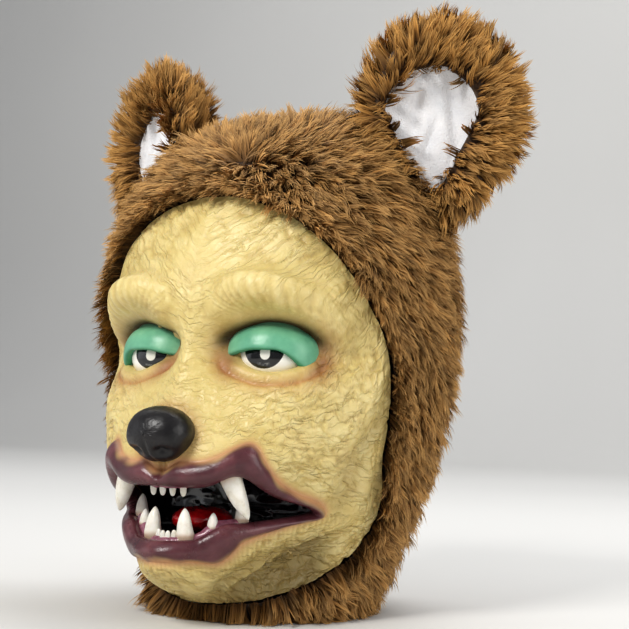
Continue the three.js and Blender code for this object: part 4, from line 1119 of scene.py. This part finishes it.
def grow_locks(places, surface, flow_of, rng, strands, spread, length, lift, width, tidy=0.7, tone_of=None):
    """Locks of strands at the given places. Each lock shares a way, a length and a tone."""
    centres, centre_normals = surface(*places)
    locks = len(centres)
    turn = rng.normal(0, 0.28, locks) + 0.75 * noise(centres[:, 0] / 26 + centres[:, 1] / 31, centres[:, 2] / 28, 19)
    flow = flow_of(centres, centre_normals)
    flow = flow * np.cos(turn)[:, None] + np.cross(centre_normals, flow) * np.sin(turn)[:, None]
    lock_length = length * (1 + rng.normal(0, 0.16, locks)).clip(0.6, 1.25)
    lock_lift = (lift + rng.normal(0, 0.09, locks)).clip(0.12, 0.95)
    lock_tone = (0.5 + rng.normal(0, 0.2, locks)).clip(0.05, 0.95)
    if tone_of is not None:
        lock_tone = (lock_tone + tone_of(centres)).clip(0.03, 0.97)
    which = np.repeat(np.arange(locks), strands)
    count = len(which)
    reach = spread * np.sqrt(rng.random(count))
    turn = rng.random(count) * 2 * np.pi
    side = np.cross(centre_normals, flow)
    root = centres[which] + reach[:, None] * (flow[which] * np.cos(turn)[:, None]
                                              + side[which] * np.sin(turn)[:, None])
    normal = centre_normals[which]
    strand_length = lock_length[which] * (1 + rng.normal(0, 0.12, count)).clip(0.55, 1.2)
    strand_lift = (lock_lift[which] + rng.normal(0, 0.07, count)).clip(0.08, 0.97)
    way = unit(flow[which] + 0.16 * rng.normal(0, 1, (count, 3)))
    target = centres[which] + strand_length[:, None] * unit(
        flow[which] * (1 - lock_lift[which])[:, None] + normal * lock_lift[which][:, None])
    pull = (tidy + rng.normal(0, 0.16, count)).clip(0.0, 0.92)
    stray = rng.random(count) < 0.05
    pull = np.where(stray, 0.0, pull)
    tone = (lock_tone[which] + rng.normal(0, 0.1, count)).clip(0.02, 0.98)
    widths = width * (1 + rng.normal(0, 0.2, count)).clip(0.5, 1.6)
    return root, normal, way, strand_length, strand_lift, widths, tone, (target, pull)


PILE_SPACING = 3.9
PILE_LENGTH = 17.5
PILE_LIFT = 0.4
PILE_WIDTH = 0.8
STRANDS_A_LOCK = 15
LOCK_SPREAD = 3.7


def hood_surface(angle, level):
    theta = np.radians(angle)
    return offset_point(theta, level, np.full(angle.shape, 0.6)), skin_normal(theta, level)


def build_hood():
    rng = np.random.default_rng(41)
    panels = {
        "left": (side_grid(1), False, ["hood_side_left"]),
        "right": (side_grid(-1), True, ["hood_side_right"]),
        "crown": (gusset_grid(), False, ["hood_crown_gusset"]),
        "chin": (chin_grid(), False, ["hood_chin_panel"]),
    }
    for label, ((angles, levels), flip, nodes) in panels.items():
        cloth = cloth_piece(f"hood_cloth_{label}", angles, levels, flip, nodes)
        points, _ = hood_surface(angles, levels)
        places = scatter(points, (angles, levels), PILE_SPACING, rng)
        strands = grow_locks(places, hood_surface, hood_flow, rng, STRANDS_A_LOCK, LOCK_SPREAD,
                             PILE_LENGTH, PILE_LIFT, PILE_WIDTH, 0.62)
        split = 3 if label in ("left", "right") else 1
        order = np.arange(len(strands[0])) * split // len(strands[0])
        for part in range(split):
            keep = order == part
            target, pull = strands[7]
            name = f"hood_pile_{label}" if split == 1 else f"hood_pile_{label}_{('low', 'mid', 'top')[part]}"
            root, normal, way, lengths, lifts, widths, tone = (x[keep] for x in strands[:7])
            obj = strand_mesh(name, root, normal, way, lengths, lifts, widths, tone, rng,
                              (target[keep], pull[keep]))
            finish_piece(obj, HOOD_PILE)


def fringe_flow(point, normal):
    """Along the face's edge the pile falls over the latex: inward on the sides, down on the brow."""
    inward = unit(np.array([0.0, -40.0, 90.0]) - point)
    high = smooth(190, 260, point[..., 2])[:, None]
    low = (1 - smooth(16, 60, point[..., 2]))[:, None]
    side = (1 - high) * (1 - low)
    flow = inward * (0.75 * side + 0.35 * high - 0.1 * low) + np.array([0.0, -0.1, -0.8])
    flow = flow - (flow * normal).sum(-1, keepdims=True) * normal
    return unit(flow)


def build_fringe():
    """A ruff of locks rooted right along the face's edge, which hides the seam."""
    rng = np.random.default_rng(43)
    psi = np.linspace(0, 2 * np.pi, 420)[None, :]
    angle, z = outline_at(psi)
    grow = np.array([1.012, 1.035, 1.06])[:, None]
    angles = angle * grow
    heights = np.clip(OUTLINE_MID_Z + (z - OUTLINE_MID_Z) * (1 + (grow - 1) * 0.7), 1.5, 330)
    levels = level_of(heights)
    points, _ = hood_surface(angles, levels)
    places = scatter(points, (angles, levels), 2.9, rng)
    low = 1 - smooth(18, 62, section(places[1])[0])
    strands = grow_locks(places, hood_surface, fringe_flow, rng, 14, 2.6, 15.0 + 3.0 * low, 0.56 + 0.1 * low,
                         PILE_WIDTH, 0.5)
    obj = strand_mesh("hood_fringe", *strands[:7], rng, strands[7])
    finish_piece(obj, HOOD_PILE)


def build_hem():
    columns, rows = 180, 7
    turn = (2 * np.pi * np.arange(columns) / columns)[None, :]
    rise = np.linspace(0, 6.0, rows)[:, None]
    theta = turn + 0 * rise
    level = rise / TEMPLE_Z + 0 * turn
    out = -3.4 - 0.35 * np.abs(np.sin(turn * 60)) * bell(rise - 3, 1.5)
    outer = offset_point(theta, level, out + 0 * rise)
    inner = offset_point(theta, level, out - 1.2)[::-1]
    band = np.concatenate([outer, inner, outer[:1]])
    obj = grid_piece("neck_hem_tape", band, wrapped=True)
    finish_piece(obj, HEM_CLOTH, nodes=["neck_hem_band"])


# ---- Ears ----

def drop_outline(turn, half_width, rise, drop, across=0.0, height=0.0, pointed=2.0):
    c, s = np.cos(turn), np.sin(turn)
    width = np.where(s >= 0, signed_power(c, 1.0), np.sign(c) * (1 - np.abs(s) ** pointed))
    return across + half_width * width, height + np.where(s >= 0, rise, drop) * s


def ear_to_mask(local, side):
    """From the ear's own plane (across, depth behind, up) to the mask."""
    turn = math.radians(EAR_FACING)
    x = local[..., 0] * math.cos(turn) - local[..., 1] * math.sin(turn)
    y = local[..., 0] * math.sin(turn) + local[..., 1] * math.cos(turn)
    shift = EAR_PLANE_POINT - np.array([0, 0, RIGHT_EAR_DROP if side < 0 else 0.0])
    return (np.stack([x, y, local[..., 2]], -1) + shift) * np.array([side, 1, 1])


def hood_clearance(points):
    """Rough distance of each point outside the hood's skin."""
    z = points[..., 2]
    t = np.clip(level_of(np.minimum(z, TEMPLE_Z + DOME_HEIGHT - 0.5)), 0, 1.97)
    _, centre, side, front, back = section(t)
    dx, dy = points[..., 0], points[..., 1] - SHIFT_Y - centre
    reach = np.where(dy > 0, back, front)
    scale = np.hypot(dx / side, dy / reach)
    level = (scale - 1) * np.hypot(dx, dy) / np.maximum(scale, 1e-6)
    above = z - (TEMPLE_Z + DOME_HEIGHT)
    return np.where(above > 0, np.maximum(level, above), level)


EAR_COLUMNS = 96


def ear_profile():
    """Rings from the lining's edge, over the rim and down the back: (blend to outline, depth)."""
    half = EAR_THICKNESS / 2
    front = [(b, -half * (0.75 + 0.25 * math.sin(b * math.pi))) for b in np.linspace(0, 0.86, 12)]
    rim = [(0.86 + 0.14 * math.sin(a), -half * 0.78 * math.cos(a)) for a in np.linspace(0.15, math.pi - 0.15, 12)]
    return front + rim


def ear_shell(side):
    turn = np.linspace(0, 2 * np.pi, EAR_COLUMNS + 1)[:-1]
    inner = np.stack(drop_outline(turn, LINING_HALF_WIDTH, LINING_RISE, LINING_DROP,
                                  -LINING_INWARD, -LINING_CENTRE_DROP, 1.15), -1)
    outer = np.stack(drop_outline(turn, EAR_HALF_WIDTH - 1, EAR_RISE - 1, EAR_DROP - 2), -1)
    rings = []
    for blend, depth in ear_profile():
        flat = inner + (outer - inner) * blend
        rings.append(np.stack([flat[:, 0], np.full(EAR_COLUMNS, depth), flat[:, 1]], -1))
    last = rings[-1]
    centre = np.array([0.0, 0.0, -6.0])
    for share in np.linspace(0.12, 1.0, 12):
        flat = last + (centre - last) * share
        flat[:, 1] = EAR_THICKNESS / 2 * (0.78 + 0.22 * math.sin(share * math.pi / 2))
        rings.append(flat)
    lip = np.stack([inner[:, 0], np.full(EAR_COLUMNS, 1.0), inner[:, 1]], -1)
    rings = [lip] + rings
    return ear_to_mask(np.array(rings), side)


def build_ear(side, label):
    body = f"ear_{label}"
    rng = np.random.default_rng(71 if side > 0 else 72)
    shell = ear_shell(side)
    rows = shell.shape[0]
    clear = hood_clearance(shell)
    faces = grid_faces(rows, EAR_COLUMNS, True)
    keep = clear.ravel()[faces].min(1) > 6.0
    faces = faces[keep]
    if side > 0:
        faces = faces[:, ::-1]
    used, new_index = np.unique(faces, return_inverse=True)
    obj = make_mesh(f"ear_cloth_{label}", shell.reshape(-1, 3)[used], new_index.reshape(faces.shape))
    finish_piece(obj, BACKING, body=body, nodes=[f"ear_fur_{label}"])

    wrapped = np.concatenate([shell, shell[:, :1]], 1)
    down = np.gradient(wrapped, axis=0)
    across = np.gradient(wrapped, axis=1)
    normals = unit(np.cross(across, down)) * (1 if side > 0 else -1)
    normals = -normals if (normals[8, EAR_COLUMNS // 4] @ ear_to_mask(np.array([0, -1.0, 0]), side)
                           - normals[8, EAR_COLUMNS // 4] @ ear_to_mask(np.zeros(3), side)) < 0 else normals
    centre = ear_to_mask(np.array([-3.0, 0.0, -8.0]), side)
    rows_index = np.repeat(np.arange(rows)[:, None], EAR_COLUMNS + 1, 1).astype(float)
    fields = [wrapped[..., k] for k in range(3)] + [normals[..., k] for k in range(3)] + [rows_index]
    picked = scatter(wrapped[1:], [f[1:] for f in fields], 3.7, rng)
    place = np.stack(picked[:3], -1)
    normal = unit(np.stack(picked[3:6], -1))
    keep = hood_clearance(place) > 7.0
    place, normal = place[keep], normal[keep]

    def surface(index):
        return place, normal

    def flow_of(points, normals_here):
        outward = unit(points - centre)
        low = (1 - smooth(300, 345, points[:, 2]))[:, None]
        way = outward + low * np.array([0.0, 0.0, -0.4])
        way = way - (way * normals_here).sum(-1, keepdims=True) * normals_here
        return unit(way)

    strands = grow_locks([place], surface, flow_of, rng, 13, 3.4, 16.5, 0.5, 0.9, 0.55)
    root, normal, way, lengths, lifts, widths, tone, gather = strands
    obj = strand_mesh(f"ear_pile_{label}", root, normal, way, lengths, lifts, widths, tone, rng, gather)
    finish_piece(obj, EAR_PILE, body=body)
    build_lining(side, label, body)


def build_lining(side, label, body):
    rows, columns = 60, 72
    turn = np.linspace(0, 2 * np.pi, columns + 1)[None, :-1]
    share = (np.linspace(0, 1, rows) ** 0.8)[:, None]
    x, z = drop_outline(turn, LINING_HALF_WIDTH + 2, LINING_RISE + 2, LINING_DROP + 2, pointed=1.15)
    flat_x, flat_z = x * share - LINING_INWARD, z * share - LINING_CENTRE_DROP
    depth = -EAR_THICKNESS / 2 + 2.2 + 3.0 * (1 - share ** 2)
    soft = bell(flat_x + 18 - 0.1 * flat_z, 4.2) * smooth(-40, -6, flat_z)
    soft = soft + bell(flat_x - 8 + 0.12 * flat_z, 5.0) * (1 - smooth(14, 30, flat_z))
    soft = soft + 0.7 * bell(flat_x + 1 - 0.3 * flat_z, 3.4) * (1 - smooth(-24, -2, flat_z))
    depth = depth + 4.2 * soft * smooth(0, 0.15, 1 - share) + 0.5 * noise(flat_x / 8, flat_z / 18, 5)
    local = np.stack([flat_x, depth, flat_z], -1)
    points = ear_to_mask(local, side)
    faces = grid_faces(rows, columns, True)
    keep = hood_clearance(points).ravel()[faces].min(1) > 5.0
    faces = faces[keep] if side < 0 else faces[keep][:, ::-1]
    used, new_index = np.unique(faces, return_inverse=True)
    obj = make_mesh(f"ear_fleece_{label}", points.reshape(-1, 3)[used], new_index.reshape(faces.shape))
    finish_piece(obj, WHITE_FLEECE, body=body, nodes=[f"ear_lining_{label}", f"ear_core_{label}"])


# ---- Assembly ----

build_face()
build_nose()
for side, label in ((1, "left"), (-1, "right")):
    build_eye(side, label)
    build_lid(side, label)
    for tooth in TEETH:
        build_tooth(tooth, side, label)
build_gum(True)
build_gum(False)
build_tongue()
build_liner()
build_hood()
build_fringe()
build_hem()
for side, label in ((1, "left"), (-1, "right")):
    build_ear(side, label)


# ---- Stage, light and camera ----

def build_stage():
    mesh = bpy.data.meshes.new("floor")
    half, back, rise = 6.0, 3.2, 4.0
    turn = np.linspace(0, np.pi / 2, 14)
    profile = [(-6.0, 0.0), (back, 0.0)]
    profile += [(back + 1.2 * math.sin(a), 1.2 - 1.2 * math.cos(a)) for a in turn[1:]]
    profile.append((back + 1.2, rise))
    points = [(x, y, z) for y, z in profile for x in (-half, half)]
    faces = [(2 * i, 2 * i + 1, 2 * i + 3, 2 * i + 2) for i in range(len(profile) - 1)]
    mesh.from_pydata(points, [], faces)
    for polygon in mesh.polygons:
        polygon.use_smooth = True
    floor = bpy.data.objects.new("floor", mesh)
    bpy.context.scene.collection.objects.link(floor)
    s = Shader("stage_paper", Roughness=0.9)
    s.set("Base Color", s.ramp(s.noise(0.6, 2), [(0.3, (214, 213, 210)), (0.7, (220, 219, 216))]))
    floor.data.materials.append(s.material)


def area_light(name, place, target, size, watts, colour=(1, 1, 1)):
    data = bpy.data.lights.new(name, "AREA")
    data.shape = "RECTANGLE"
    data.size, data.size_y = size
    data.energy = watts
    data.color = colour
    obj = bpy.data.objects.new(name, data)
    bpy.context.scene.collection.objects.link(obj)
    obj.location = place
    obj.rotation_mode = "QUATERNION"
    obj.rotation_quaternion = (Vector(target) - Vector(place)).to_track_quat("-Z", "Y")


def build_lights():
    middle = (0, 0, 0.2)
    area_light("key", (-0.25, -1.4, 1.25), middle, (0.55, 0.55), 19, (1.0, 0.985, 0.96))
    area_light("fill", (-1.5, -0.9, 0.5), middle, (1.2, 1.2), 3, (0.95, 0.97, 1.0))
    area_light("side", (1.7, -0.2, 0.7), middle, (0.8, 1.2), 8, (1.0, 0.98, 0.95))
    area_light("top", (0.2, 0.7, 1.7), middle, (1.0, 0.8), 9)
    area_light("backdrop", (0, 1.2, 3.2), (0, 3.6, 0.9), (5.0, 2.5), 85)
    world = bpy.data.worlds.new("soft_studio")
    world.use_nodes = True
    background = world.node_tree.nodes["Background"]
    background.inputs["Color"].default_value = (0.93, 0.95, 1.0, 1)
    background.inputs["Strength"].default_value = 0.3
    bpy.context.scene.world = world


CAMERA_AZIMUTH, CAMERA_ELEVATION, CAMERA_ROLL = 28.0, -4.7, 1.6
CAMERA_TARGET, CAMERA_DISTANCE, CAMERA_LENS = (33.0, 9.5, 206.0), 915.0, 74.3


def build_camera():
    data = bpy.data.cameras.new("camera")
    data.lens = CAMERA_LENS
    data.sensor_width = 36.0
    camera = bpy.data.objects.new("camera", data)
    bpy.context.scene.collection.objects.link(camera)
    turn, tilt, roll = (math.radians(a) for a in (CAMERA_AZIMUTH, CAMERA_ELEVATION, CAMERA_ROLL))
    back = Vector((math.sin(turn) * math.cos(tilt), -math.cos(turn) * math.cos(tilt), math.sin(tilt)))
    level = Vector((math.cos(turn), math.sin(turn), 0))
    right = level * math.cos(roll) + back.cross(level) * math.sin(roll)
    facing = Matrix((right, back.cross(right), back)).transposed().to_4x4()
    place = (Vector(CAMERA_TARGET) + back * CAMERA_DISTANCE) * MM
    camera.matrix_world = Matrix.Translation(place) @ facing
    data.clip_start = 0.05
    bpy.context.scene.camera = camera


build_stage()
build_lights()
build_camera()
scene = bpy.context.scene
scene.view_settings.view_transform = "Standard"
scene.view_settings.look = "Medium High Contrast"
